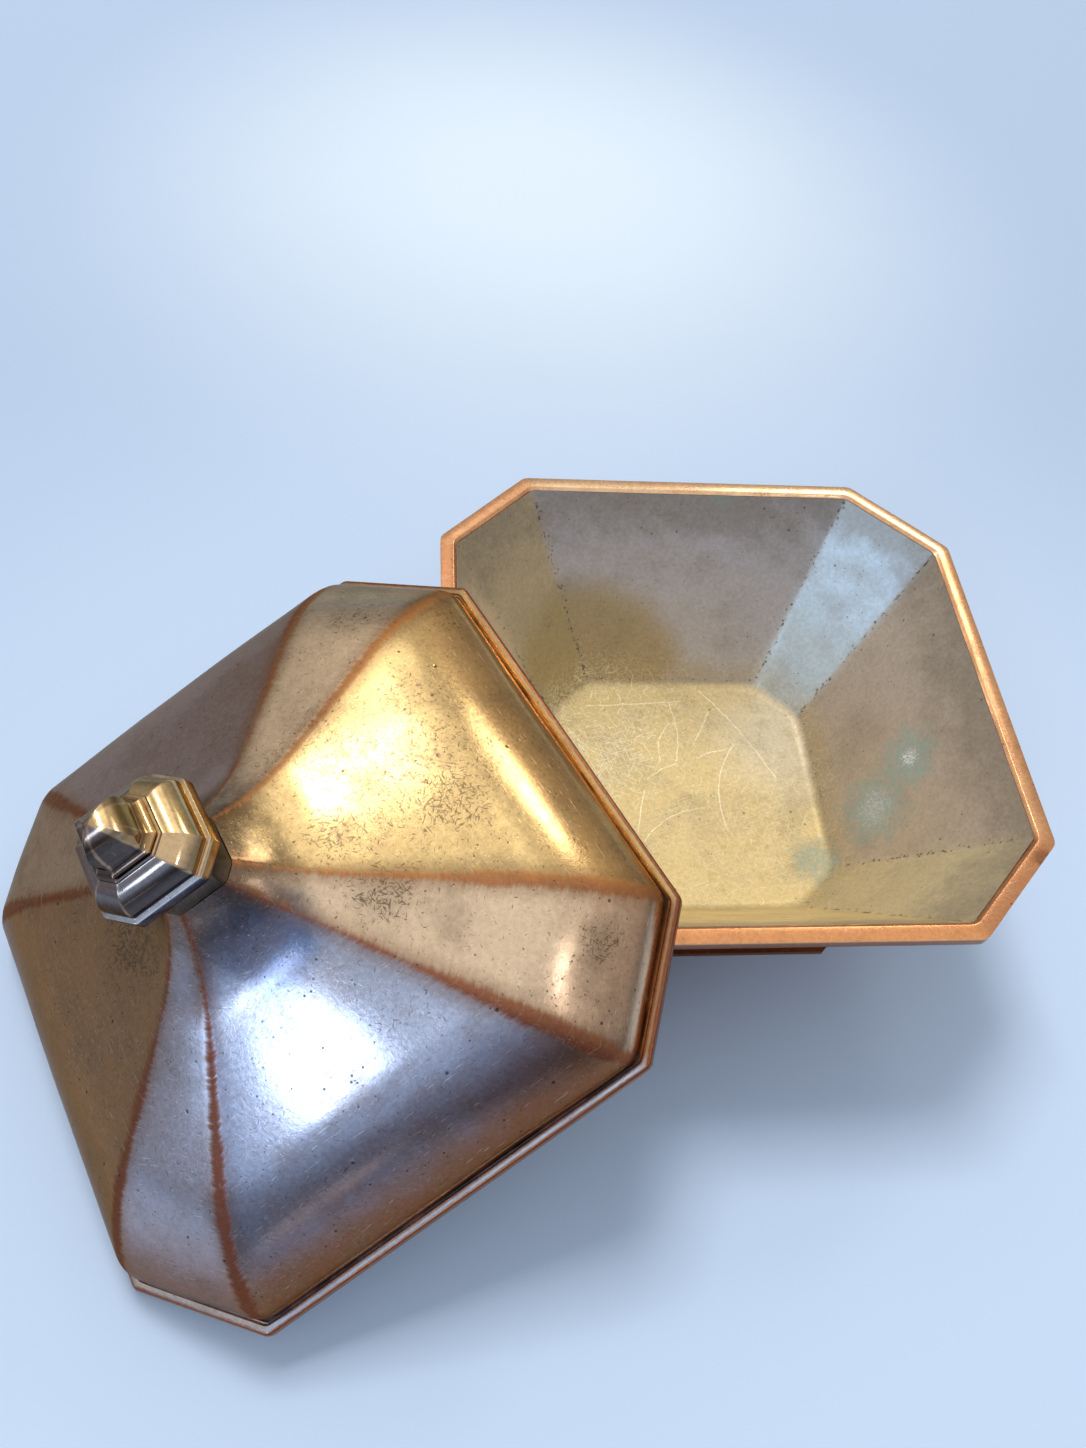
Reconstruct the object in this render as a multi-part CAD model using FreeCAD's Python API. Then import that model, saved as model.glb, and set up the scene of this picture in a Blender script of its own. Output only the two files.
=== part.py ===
import FreeCAD, Part
import math
import os

# Turkish delight box of tinned copper. An eight-sided bowl on a low flared foot stands open.
# Its domed lid has been taken off and leans beside it: one long side of the lid is on the table,
# and the far side rests over the front left corner of the bowl's mouth.
# Millimetres, +Z up, the table at zero. X runs along the front of the bowl, Y towards its back.
# The origin is the middle of the ground that the open box and its lid cover together.

# Bowl: half widths are taken across the flats, and a cut is the leg of the corner it takes off.
mouth_half = 75.0
mouth_cut = 24.9
floor_half = 39.6
floor_cut = 12.4
bowl_depth = 55.3
bowl_sheet = 1.0
floor_radius = 4.0

# Rim frame: a copper frame soldered round the mouth, which covers the edge of the bowl's sheet.
rim_width = 4.2
rim_height = 3.2
rim_bevel = 0.5
rim_cover = 0.8
rim_edge = 0.3
rim_corner_radius = 3.0

# Foot ring: a flared ring with an upright band at the table and a flat seat under the floor.
foot_half = 50.6
foot_cut = 16.6
foot_height = 6.3
foot_band = 1.6
foot_sheet = 1.1
foot_seat_half = 36.5
foot_seat_width = 3.0

# Lid flange: its lip stands past the rim, and the skirt of the dome is let into its groove.
lid_overhang = 1.65
lid_cut = 25.9
lid_corner_radius = 2.0
lip_width = 2.0
lip_height = 2.2
lip_radius = 0.8
groove_width = 0.7
groove_floor = 1.2

# Lid collar: it hangs below the flange and keeps the closed lid in the mouth.
collar_clearance = 0.6
collar_sheet = 1.0
collar_depth = 1.6

# Lid dome: upright skirt, round shoulder, wide crown, straight slope, and a sweep up to the knob.
skirt_height = 2.5
shoulder_radius = 12.3
shoulder_slope_degrees = 55.7
crown_radius = 47.5
crown_slope_degrees = 22.6
sweep_radius = 41.5
sweep_slope_degrees = 55.5
dome_top_half = 8.8
dome_sheet = 1.0

# Knob neck: a waisted eight-sided spool between the dome and the knob.
neck_height = 11.5
neck_waist_half = 7.6
neck_top_half = 11.2

# Knob body: an upright band, a narrow ledge, a round flank and a thin bead.
knob_half = 13.0
knob_cut = 5.3
knob_band = 3.2
knob_ledge = 0.9
flank_rise = 6.3
bead_half = 7.5
bead_height = 0.9

# Knob finial: a pointed cap that flares out to a thin rim over a dark joint line.
joint_half = 5.6
joint_height = 0.5
cap_half = 6.35
cap_rim = 0.5
cap_rise = 8.4

# Fastening of the knob: a stud right through it, and a washer and nut inside the dome.
stud_radius = 2.0
stud_end = 1.5
stud_in_finial = 4.2
bore_clearance = 0.1
washer_radius = 5.0
washer_thickness = 0.8
nut_across_flats = 7.0
nut_height = 3.2
nut_chamfer = 0.5

# Leaning lid: the gap left where it rests on the rim, its turn in plan, and how it is lowered.
lean_gap = 0.3
lid_turn_degrees = -63.1
upright_degrees = 75.0
lowering_degrees = 2.0
lean_steps = 16
# Place of the middle of the lid's low side, from the bowl's centre, in half widths of the mouth.
low_side_shares = (-2.224, -1.1245)

# Every cut runs past what it meets by this much.
overrun = 5.0

# Middle of a curve: share of its way across, share of its way up.
foot_curve_share = (0.62, 0.3)
flank_curve_share = (0.293, 0.707)
# Neck curves: share of the way from the waist to the top width, share of the neck's height.
neck_waist_share = 0.35
neck_curve_shares = ((0.35, 0.8), (0.62, 0.92))
# Cap above its rim, the middle and end of each curve: share of its half width, share of its rise.
cap_curve_shares = (
    ((0.85, 0.07), (0.76, 0.22)),
    ((0.71, 0.43), (0.62, 0.62)),
    ((0.41, 0.86), (0.1, 1.0)),
)
# The cap's four narrow sides run out to a point at this share of its rise.
cap_facet_share = 0.55
# A side moved in by some distance shortens a corner cut by this share of the distance.
cut_share = 2 - math.sqrt(2)

# Sizes that follow
inner_half = mouth_half - rim_width
inner_cut = mouth_cut - rim_width * cut_share
wall_lean = (inner_half - floor_half) / bowl_depth
cut_lean = (inner_cut - floor_cut) / bowl_depth
wall_slope = math.atan(1 / wall_lean)
wall_spread = bowl_sheet / math.sin(wall_slope)
floor_height = foot_height + bowl_sheet
rim_top = floor_height + bowl_depth
lid_half = mouth_half + lid_overhang
skirt_half = lid_half - lip_width - groove_width
collar_half = inner_half - collar_clearance
collar_inner = collar_half - collar_sheet
upright = math.pi / 2
shoulder_slope = math.radians(shoulder_slope_degrees)
crown_slope = math.radians(crown_slope_degrees)
sweep_slope = math.radians(sweep_slope_degrees)


def bend(start, radius, before, after):
    """The middle and end of an arc that turns from one slope to another as it climbs inwards.

    Its radius is below zero where the slope grows. Points are (half width, height).
    """
    points = []
    for slope in ((before + after) / 2, after):
        half = start[0] - radius * (math.sin(before) - math.sin(slope))
        height = start[1] + radius * (math.cos(slope) - math.cos(before))
        points.append((half, height))
    return tuple(points)


def dome_curve(inward, foot):
    """The dome's profile from a foot to the knob's seat, moved in square to its slope.

    The straight slope fills the width that the curves leave.
    """
    start = (skirt_half - inward, groove_floor + skirt_height)
    top_slope = math.acos((sweep_radius * math.cos(sweep_slope) + inward) / (sweep_radius + inward))
    shoulder = bend(start, shoulder_radius - inward, upright, shoulder_slope)
    crown = bend(shoulder[-1], crown_radius - inward, shoulder_slope, crown_slope)
    curved = shoulder_radius * (1 - math.sin(shoulder_slope))
    curved += crown_radius * (math.sin(shoulder_slope) - math.sin(crown_slope))
    curved += sweep_radius * (math.sin(sweep_slope) - math.sin(crown_slope))
    run = skirt_half - dome_top_half - curved
    slope = (crown[-1][0] - run, crown[-1][1] + run * math.tan(crown_slope))
    sweep = bend(slope, -sweep_radius - inward, crown_slope, top_slope)
    return [((start[0], foot),), (start,), shoulder, crown, (slope,), sweep]


dome_top = dome_curve(0, groove_floor)[-1][-1][1]
neck_top = dome_top + neck_height
band_top = neck_top + knob_band
flank_top = band_top + flank_rise
bead_top = flank_top + bead_height
cap_foot = bead_top + joint_height
cap_base = cap_foot + cap_rim
bore_radius = stud_radius + bore_clearance
stud_top = cap_base + stud_in_finial
washer_foot = dome_top - dome_sheet - washer_thickness
nut_foot = washer_foot - nut_height


def corners(half, cut, height):
    """The eight corners of a square with its corners cut off."""
    side = half - cut
    plan = ((-side, half), (side, half), (half, side), (half, -side),
            (side, -half), (-side, -half), (-half, -side), (-half, side))
    return [FreeCAD.Vector(x, y, height) for x, y in plan]


def side_reach(half, cut, height):
    """A point of a long side's profile."""
    return FreeCAD.Vector(half, 0, height)


def corner_reach(half, cut, height):
    """The same point on the profile of a corner's side."""
    return FreeCAD.Vector((2 * half - cut) / math.sqrt(2), 0, height)


def slice_between(path, reach, degrees):
    """All that lies between two opposite sides with one profile, closed flat below and above."""
    last = reach(*path[0][0])
    ends = [last]
    profile = []
    for step in path[1:]:
        points = [last] + [reach(*level) for level in step]
        curve = Part.Arc(*points) if len(points) > 2 else Part.LineSegment(*points)
        profile.append(curve.toShape())
        last = points[-1]
    ends.append(last)
    across = FreeCAD.Vector(1, 0, 0)
    edges = profile + [edge.mirror(FreeCAD.Vector(), across) for edge in profile]
    for end in ends:
        edges.append(Part.LineSegment(end, FreeCAD.Vector(-end.x, 0, end.z)).toShape())
    face = Part.Face(Part.Wire(Part.sortEdges(edges)[0]))
    length = 2 * face.BoundBox.XLength
    whole = face.extrude(FreeCAD.Vector(0, length, 0))
    whole.translate(FreeCAD.Vector(0, -length / 2, 0))
    whole.rotate(FreeCAD.Vector(), FreeCAD.Vector(0, 0, 1), degrees)
    return whole


def eight_sided(path):
    """A solid whose eight sides follow a path of levels, each a half width, cut and height.

    The path's steps after its start are lines, given by their end, or arcs, by middle and end.
    """
    solid = slice_between(path, side_reach, 0)
    for reach, degrees in ((side_reach, 90), (corner_reach, 45), (corner_reach, 135)):
        solid = solid.common(slice_between(path, reach, degrees))
    return solid


def prism(half, cut, low, high):
    points = corners(half, cut, low)
    return Part.Face(Part.makePolygon(points + points[:1])).extrude(FreeCAD.Vector(0, 0, high - low))


def soft_prism(half, cut, low, high, radius):
    """An upright eight-sided block with rounded corners."""
    block = prism(half, cut, low, high)
    upright_edges = [edge for edge in block.Edges if edge.BoundBox.ZLength > (high - low) / 2]
    return block.makeFillet(radius, upright_edges)


def levels(curve, level):
    """A path from a curve of (half width, height) points, with the cut that each level has."""
    return [tuple(level(*point) for point in step) for step in curve]


def bore(radius, low, high):
    return Part.makeCylinder(radius, high - low, FreeCAD.Vector(0, 0, low))


def wall_level(half, height):
    """A level of the bowl: its cut grows with height, and with the distance out from the wall."""
    rise = height - floor_height
    spread = half - floor_half - rise * wall_lean
    return half, floor_cut + rise * cut_lean + spread * cut_share, height


def bowl_curve(spread, sheet, top):
    """Flat floor, rounded foot and straight sloping wall, moved out by the sheet."""
    flat = floor_half - floor_radius * math.tan(wall_slope / 2)
    radius = floor_radius + sheet
    turn = []
    for slope in (wall_slope / 2, wall_slope):
        half = flat + radius * math.sin(slope)
        turn.append((half, floor_height + floor_radius - radius * math.cos(slope)))
    lip = (floor_half + (top - floor_height) * wall_lean + spread, top)
    return [((flat, floor_height - sheet),), tuple(turn), (lip,)]


def make_bowl():
    """Eight straight sloping walls pressed from one sheet with a flat floor."""
    outside = eight_sided(levels(bowl_curve(wall_spread, bowl_sheet, rim_top - rim_cover), wall_level))
    inside = eight_sided(levels(bowl_curve(0, 0, rim_top + overrun), wall_level))
    return outside.cut(inside)


def make_rim_frame():
    """A flat frame with a fine bevel inside, which laps over the edge of the bowl."""
    def level(inset, height):
        return mouth_half - inset, mouth_cut - inset * cut_share, height

    low = rim_top - rim_height
    step = rim_top - rim_cover
    bevel_foot = rim_width + rim_cover * wall_lean
    lap = bevel_foot - wall_spread
    lap_foot = lap + (rim_height - rim_cover) * wall_lean
    outer = [(0, low), (0, rim_top - rim_edge), (rim_edge, rim_top)]
    inner = [
        (lap_foot, low - overrun),
        (lap_foot, low),
        (lap, step),
        (bevel_foot, step),
        (rim_width - rim_bevel, rim_top),
        (rim_width - rim_bevel, rim_top + overrun),
    ]
    frame = eight_sided([(level(*point),) for point in outer])
    frame = frame.common(soft_prism(mouth_half, mouth_cut, low, rim_top, rim_corner_radius))
    return frame.cut(eight_sided([(level(*point),) for point in inner]))


def make_foot_ring():
    """A flared ring: an upright band, a hollow curve inwards, and a flat seat."""
    def level(half, height):
        return half, foot_cut - (foot_half - half) * cut_share, height

    def curve(inset, drop, low):
        flare = foot_half - foot_seat_half
        rise = foot_height - foot_band
        middle = (foot_half - inset - flare * foot_curve_share[0],
                  foot_band - drop + rise * foot_curve_share[1])
        band = (foot_half - inset, foot_band - drop)
        return [((band[0], low),), (band,), (middle, (foot_seat_half - inset, foot_height - drop))]

    outside = eight_sided(levels(curve(0, 0, 0), level))
    inside = eight_sided(levels(curve(foot_sheet, foot_sheet, -overrun), level))
    hole = level(foot_seat_half - foot_seat_width, 0)
    return outside.cut(inside).cut(prism(hole[0], hole[1], -overrun, foot_height + overrun))


def flange_level(half, height):
    return half, lid_cut - (lid_half - half) * cut_share, height


def make_lid_flange():
    """A stepped moulding: a lip with a round edge, and a groove that the skirt stands in."""
    start = (lid_half, lip_height - lip_radius)
    lip = eight_sided(levels([((lid_half, 0),), (start,), bend(start, lip_radius, upright, 0)], flange_level))
    lip = lip.common(soft_prism(lid_half, lid_cut, 0, lip_height, lid_corner_radius))
    groove = flange_level(lid_half - lip_width, groove_floor)
    inner = flange_level(collar_inner, 0)
    lip = lip.cut(prism(groove[0], groove[1], groove_floor, lip_height + overrun))
    return lip.cut(prism(inner[0], inner[1], -overrun, lip_height + overrun))


def make_lid_collar():
    """A thin upright collar that enters the mouth when the lid is on."""
    outer = flange_level(collar_half, 0)
    inner = flange_level(collar_inner, 0)
    collar = prism(outer[0], outer[1], -collar_depth, 0)
    return collar.cut(prism(inner[0], inner[1], -collar_depth - overrun, overrun))


def dome_level(half, height):
    return half, half * lid_cut / lid_half, height


def make_lid_dome():
    """A hollow dome of eight curved sides that meet in crisp ridges."""
    outside = eight_sided(levels(dome_curve(0, groove_floor), dome_level))
    inside = eight_sided(levels(dome_curve(dome_sheet, groove_floor - overrun), dome_level))
    return outside.cut(inside).cut(bore(bore_radius, dome_top - overrun, dome_top + overrun))


def knob_level(half, height):
    return half, half * knob_cut / knob_half, height


def make_knob_neck():
    """A waisted spool that stands on the dome and spreads under the knob."""
    widths = (neck_waist_half, neck_top_half - neck_waist_half)
    flare = [(widths[0] + widths[1] * out, dome_top + neck_height * up) for out, up in neck_curve_shares]
    waist = (neck_waist_half, dome_top + neck_height * neck_waist_share)
    curve = [((dome_top_half, dome_top),), (waist, flare[0]), (flare[1], (neck_top_half, neck_top))]
    return eight_sided(levels(curve, dome_level)).cut(bore(bore_radius, dome_top - overrun, neck_top + overrun))


def make_knob_body():
    """Band, ledge, round flank and bead of the knob."""
    flank_foot = knob_half - knob_ledge
    across, up = flank_curve_share
    flank = (flank_foot - (flank_foot - bead_half) * across, band_top + flank_rise * up)
    curve = [
        ((knob_half, neck_top),),
        ((knob_half, band_top),),
        ((flank_foot, band_top),),
        (flank, (bead_half, flank_top)),
        ((bead_half, bead_top),),
    ]
    return eight_sided(levels(curve, knob_level)).cut(bore(bore_radius, neck_top - overrun, bead_top + overrun))


def cap_level(half, height):
    """The cap's narrow sides shrink as it rises, until the long sides meet in four ridges."""
    share = max(height - cap_base, 0) / (cap_rise * cap_facet_share)
    return half, half * knob_cut / knob_half * (1 - share), height


def make_knob_finial():
    """The pointed cap, with the recess below its rim that shows as a dark line."""
    curve = [
        ((joint_half, bead_top),),
        ((joint_half, cap_foot),),
        ((cap_half, cap_foot),),
        ((cap_half, cap_base),),
    ]
    for shares in cap_curve_shares:
        curve.append(tuple((cap_half * out, cap_base + cap_rise * up) for out, up in shares))
    finial = eight_sided(levels(curve, cap_level))
    return finial.cut(bore(bore_radius, bead_top - overrun, stud_top + bore_clearance))


def make_knob_stud():
    return bore(stud_radius, nut_foot - stud_end, stud_top)


def make_knob_washer():
    disc = bore(washer_radius, washer_foot, washer_foot + washer_thickness)
    return disc.cut(bore(bore_radius, washer_foot - overrun, washer_foot + overrun))


def make_knob_nut():
    """A six-sided nut with its lower corners turned off."""
    corner = nut_across_flats / math.sqrt(3)
    points = []
    for side in range(6):
        angle = side * math.pi / 3
        points.append(FreeCAD.Vector(corner * math.cos(angle), corner * math.sin(angle), nut_foot))
    hexagon = Part.Face(Part.makePolygon(points + points[:1]))
    blank = hexagon.extrude(FreeCAD.Vector(0, 0, nut_height))
    turned = Part.makeCone(corner - nut_chamfer, corner, nut_chamfer, FreeCAD.Vector(0, 0, nut_foot))
    turned = turned.fuse(bore(corner, nut_foot + nut_chamfer, washer_foot))
    return blank.common(turned).cut(bore(bore_radius, nut_foot - overrun, washer_foot + overrun))


def lid_place(degrees):
    """The lid turned up about its low side, and turned in plan to lie over the bowl's corner."""
    tilt = FreeCAD.Rotation(FreeCAD.Vector(1, 0, 0), degrees)
    turn = FreeCAD.Rotation(FreeCAD.Vector(0, 0, 1), lid_turn_degrees)
    rotation = turn.multiply(tilt)
    low_side = rotation.multVec(FreeCAD.Vector(0, -lid_half, 0))
    spot = FreeCAD.Vector(low_side_shares[0] * mouth_half, low_side_shares[1] * mouth_half, 0)
    return FreeCAD.Placement(spot - low_side, rotation)


def placed(shape, placement):
    return shape.transformed(placement.toMatrix(), True)


def rim_gap(degrees):
    return placed(lid_edge, lid_place(degrees)).distToShape(box_parts["rim_frame"])[0]


def lean_angle():
    """The tilt at which the lid, lowered from upright, comes to rest a gap above the rim."""
    high = upright_degrees
    low = high - lowering_degrees
    while rim_gap(low) > lean_gap and low > lowering_degrees:
        high = low
        low = high - lowering_degrees
    for _ in range(lean_steps):
        middle = (low + high) / 2
        if rim_gap(middle) < lean_gap:
            low = middle
        else:
            high = middle
    return high


box_parts = {
    "bowl": make_bowl(),
    "rim_frame": make_rim_frame(),
    "foot_ring": make_foot_ring(),
}
lid_parts = {
    "lid_dome": make_lid_dome(),
    "lid_flange": make_lid_flange(),
    "lid_collar": make_lid_collar(),
    "knob_neck": make_knob_neck(),
    "knob_body": make_knob_body(),
    "knob_finial": make_knob_finial(),
    "knob_stud": make_knob_stud(),
    "knob_washer": make_knob_washer(),
    "knob_nut": make_knob_nut(),
}
lid_edge = Part.makeCompound([lid_parts["lid_flange"], lid_parts["lid_collar"]])
tilt_degrees = lean_angle()
lean = lid_place(tilt_degrees)
print("lid leans by degrees", round(tilt_degrees, 3))

# The ground that box and lid cover together is centred on the origin
ground = placed(lid_edge, lean).BoundBox
ground.add(box_parts["rim_frame"].BoundBox)
shift = FreeCAD.Vector(-ground.Center.x, -ground.Center.y, 0)
print("bowl centre", [round(value, 3) for value in shift])

os.makedirs("parts", exist_ok=True)
for name, shape in box_parts.items():
    shape.translated(shift).exportStep("parts/" + name + ".step")
for name, shape in lid_parts.items():
    placed(shape, lean).translated(shift).exportStep("parts/" + name + ".step")
for name, shape in {**box_parts, **lid_parts}.items():
    print(name, "solids", len(shape.Solids), "valid", shape.isValid(), "volume", round(shape.Volume, 1))
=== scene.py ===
# %% [markdown]
# # A Turkish delight box of tinned copper
# An eight-sided bowl with a copper rim stands open, and its domed lid leans against one corner.
# The solids come ready-made as a fixed frame. This lesson gives each visible piece a finer mesh
# with soft, worn edges, and a finish with the plating, copper, scratches and tarnish of the old box.

# %% Load the frame
import math

import bmesh
import bpy
from mathutils import Euler, Matrix, Vector


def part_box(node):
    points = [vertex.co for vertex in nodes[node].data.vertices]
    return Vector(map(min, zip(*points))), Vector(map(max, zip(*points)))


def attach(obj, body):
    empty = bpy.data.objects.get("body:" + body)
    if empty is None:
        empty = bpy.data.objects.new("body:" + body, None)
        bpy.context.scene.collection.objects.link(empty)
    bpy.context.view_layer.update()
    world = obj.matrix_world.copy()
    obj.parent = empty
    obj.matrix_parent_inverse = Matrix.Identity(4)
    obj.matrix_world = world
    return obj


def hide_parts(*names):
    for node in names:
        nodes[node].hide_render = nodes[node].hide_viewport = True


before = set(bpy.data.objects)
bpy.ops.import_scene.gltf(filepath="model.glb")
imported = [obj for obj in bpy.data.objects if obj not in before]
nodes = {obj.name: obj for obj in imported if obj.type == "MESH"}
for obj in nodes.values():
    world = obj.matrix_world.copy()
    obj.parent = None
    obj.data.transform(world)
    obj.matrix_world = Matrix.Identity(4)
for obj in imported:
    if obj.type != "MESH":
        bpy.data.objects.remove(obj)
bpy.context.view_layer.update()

# %% [markdown]
# ## Where things are
# Every size is in metres. The rim frame of the bowl is level, so its box gives the mouth's middle,
# half width and height. The lid leans, so its place has to be worked out: the stud through the knob
# shows the lid's axis, and the thin collar under the flange shows its middle. A solid that looks the
# same from both ends keeps its middle in the middle of its box, however it is turned.

# %% Places of the bowl and the lid
rim_low, rim_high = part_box("rim_frame")
bowl_middle = (rim_low + rim_high) / 2
bowl_place = Matrix.Translation((bowl_middle.x, bowl_middle.y, 0))
mouth_half = (rim_high.x - rim_low.x) / 2
rim_top = rim_high.z
foot_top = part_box("foot_ring")[1].z
collar_depth = 0.0016


def middle(points):
    """The middle of the box round some points."""
    low, high = [Vector([end(point[axis] for point in points) for axis in range(3)]) for end in (min, max)]
    return (low + high) / 2


stud_split = sum(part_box("knob_stud"), Vector()).z / 2
stud_points = [vertex.co for vertex in nodes["knob_stud"].data.vertices]
stud_foot = middle([point for point in stud_points if point.z < stud_split])
stud_head = middle([point for point in stud_points if point.z > stud_split])
lid_axis = (stud_head - stud_foot).normalized()
lid_tilt = math.acos(lid_axis.z)
lid_turn = math.atan2(lid_axis.x, -lid_axis.y)
lid_rotation = Euler((lid_tilt, 0, lid_turn))
collar_middle = sum(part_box("lid_collar"), Vector()) / 2
lid_origin = collar_middle + lid_axis * collar_depth / 2
lid_place = Matrix.Translation(lid_origin) @ lid_rotation.to_matrix().to_4x4()
print("lid tilt and turn in degrees", round(math.degrees(lid_tilt), 3), round(math.degrees(lid_turn), 3))

# %% [markdown]
# ## The camera
# The photograph looks down into the bowl from the front left, with a short lens and the camera
# rolled a little. The camera's place is given from the middle of the mouth, so it follows the bowl.
# A track quaternion points the camera along its line of sight, and a turn about that line rolls it.

# %% Camera
camera_offset = Vector((-0.0804, -0.17832, 0.22994))
camera_sight = Vector((0.10824, 0.57594, -0.81029))
camera_roll_degrees = 8.95
camera_lens = 28.06

camera_data = bpy.data.cameras.new("camera")
camera_data.lens = camera_lens
camera_data.clip_start = 0.01
camera = bpy.data.objects.new("camera", camera_data)
bpy.context.scene.collection.objects.link(camera)
camera.location = Vector((bowl_middle.x, bowl_middle.y, rim_top)) + camera_offset
roll = Matrix.Rotation(math.radians(camera_roll_degrees), 4, "Z")
facing = camera_sight.to_track_quat("-Z", "Y").to_matrix().to_4x4()
camera.rotation_euler = (facing @ roll).to_euler()
bpy.context.scene.camera = camera
print("camera right", [round(value, 4) for value in (facing @ roll).col[0][:3]])

# %% [markdown]
# ## Outlines with eight sides
# Every sheet of the box has the same plan: a square with its corners cut off. In Blender such an
# outline is a plane whose corners are bevelled. A second, smaller bevel rounds the eight new corners,
# because hammered sheet has no knife edges. Outlines at several heights are then bridged into a wall.
# Extruding and scaling would do too, but with outlines each level can have its own cut and rounding.
# Two outlines in one plane can be bridged with a twist, so each new one is bridged from high above
# and then lowered to its place.

# %% Outline and wall helpers
corner_steps = 4
thinnest_cut = 0.00002
weld_distance = 0.000002
lift = 0.5


def outline_numbers(mesh):
    """The layer of the mesh's edges that holds the number of the outline they belong to."""
    return mesh.edges.layers.int.get("outline") or mesh.edges.layers.int.new("outline")


def add_outline(piece, number, half, cut, height, soft):
    """Adds one eight-sided outline with rounded corners in edit mode, and numbers its edges."""
    cut = max(cut, thinnest_cut)
    bpy.ops.mesh.primitive_plane_add(size=2 * half, location=(0, 0, height))
    bpy.ops.mesh.bevel(offset=cut, affect="VERTICES", segments=1)
    bpy.ops.mesh.bevel(offset=min(soft, cut / 2), affect="VERTICES", segments=corner_steps)
    mesh = bmesh.from_edit_mesh(piece.data)
    numbers = outline_numbers(mesh)
    for edge in mesh.edges:
        if edge.select:
            edge[numbers] = number
    bmesh.update_edit_mesh(piece.data)
    bpy.ops.mesh.delete(type="ONLY_FACE")


def choose_edges(piece, wanted):
    """Selects in edit mode the edges that pass a test on the edge and its outline's number."""
    mesh = bmesh.from_edit_mesh(piece.data)
    numbers = outline_numbers(mesh)
    for item in [*mesh.faces, *mesh.edges, *mesh.verts]:
        item.select = False
    for edge in mesh.edges:
        if wanted(edge, edge[numbers]):
            edge.select_set(True)
    bmesh.update_edit_mesh(piece.data)


def eight_sided(name, level, profile, caps=()):
    """A wall through outlines, one for each point of a profile, which has half widths and heights.

    The function level gives each outline's half width, cut, height and rounding. Caps are the numbers
    of the outlines that get a face. Where the last outline lies on the first, the two are merged,
    and the wall is a closed frame.
    """
    bpy.ops.object.select_all(action="DESELECT")
    bpy.ops.mesh.primitive_plane_add()
    piece = bpy.context.object
    piece.name = name
    piece.data.name = name
    bpy.ops.object.mode_set(mode="EDIT")
    bpy.ops.mesh.select_mode(type="EDGE")
    bpy.ops.mesh.delete(type="VERT")
    for number, point in enumerate(profile, 1):
        half, cut, height, soft = level(*point)
        add_outline(piece, number, half, cut, height + lift, soft)
        if number > 1:
            choose_edges(piece, lambda edge, outline: outline in (number - 1, number))
            bpy.ops.mesh.bridge_edge_loops()
        choose_edges(piece, lambda edge, outline: outline == number)
        bpy.ops.transform.translate(value=(0, 0, -lift))
    for cap in caps:
        choose_edges(piece, lambda edge, outline: outline == cap)
        bpy.ops.mesh.edge_face_add()
    bpy.ops.mesh.select_all(action="SELECT")
    bpy.ops.mesh.remove_doubles(threshold=weld_distance)
    bpy.ops.mesh.normals_make_consistent(inside=False)
    bpy.ops.object.mode_set(mode="OBJECT")
    return piece


def cut_long_edges(piece, longest, cuts):
    """Cuts the long level edges of the flat sides, so that the sheet can be dented."""

    def long_and_level(edge, outline):
        first, second = [vertex.co for vertex in edge.verts]
        return (abs(first.z - second.z) < thinnest_cut and edge.calc_length() > longest
                and len(edge.link_faces) > 0)

    bpy.ops.object.mode_set(mode="EDIT")
    choose_edges(piece, long_and_level)
    bpy.ops.mesh.subdivide(number_cuts=cuts)
    bpy.ops.object.mode_set(mode="OBJECT")


# %% [markdown]
# Modifiers soften, dent and thicken the walls. A finished mesh is then moved to its place, while its
# object stays at the origin, unturned. It is hung under an empty named for the body it rides on, and
# the solid that it stands for is hidden.

# %% Modifier and placing helpers
# A side moved in by some distance shortens a corner cut by this share of the distance
cut_share = 2 - math.sqrt(2)


def select_only(piece):
    bpy.ops.object.select_all(action="DESELECT")
    bpy.context.view_layer.objects.active = piece
    piece.select_set(True)


def apply_modifier(piece, kind, **settings):
    """Adds a modifier, sets it up and applies it."""
    modifier = piece.modifiers.new(kind.lower(), kind)
    for key, value in settings.items():
        setattr(modifier, key, value)
    select_only(piece)
    bpy.ops.object.modifier_apply(modifier=modifier.name)


def soften_edges(piece, width, degrees):
    """Rounds the edges that are sharper than an angle."""
    apply_modifier(piece, "BEVEL", width=width, segments=2, limit_method="ANGLE",
                   angle_limit=math.radians(degrees))


def dent(piece, name, size, depth, strength, level):
    """Moves the sheet in and out with soft noise."""
    texture = bpy.data.textures.new(name, "CLOUDS")
    texture.noise_scale = size
    texture.noise_depth = depth
    apply_modifier(piece, "DISPLACE", texture=texture, strength=strength, mid_level=level)


def hand_over(piece, smooth_degrees, place, body, node):
    """Smooths a finished piece, moves its mesh to its place, hangs it under its body and hides the solid
    that it stands for.
    """
    select_only(piece)
    bpy.ops.object.shade_smooth_by_angle(angle=math.radians(smooth_degrees))
    piece.matrix_world = place
    bpy.ops.object.transform_apply(location=True, rotation=True, scale=True)
    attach(piece, body)
    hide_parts(node)
    print(piece.name, "has", sum(len(face.vertices) - 2 for face in piece.data.polygons), "triangles")


# %% [markdown]
# ## Curves in profile
# The dome, the neck and the knob are curved in profile and straight in plan. Three helpers give points
# as half width and height: on a straight line, on an arc that turns from slope to slope, as a bent
# strip does, and on an arc through three points that are easy to read off a picture.

# %% Profile helpers


def line_points(first, last, steps):
    """Points after the first on a straight line."""
    shares = [step / steps for step in range(1, steps + 1)]
    return [tuple(a + (b - a) * share for a, b in zip(first, last)) for share in shares]


def turn_points(start, radius, before, after, steps):
    """Points on an arc from one slope to another, climbing inwards. Slopes are in radians."""
    points = []
    for step in range(1, steps + 1):
        slope = before + (after - before) * step / steps
        half = start[0] - radius * (math.sin(before) - math.sin(slope))
        height = start[1] + radius * (math.cos(slope) - math.cos(before))
        points.append((half, height))
    return points


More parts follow.
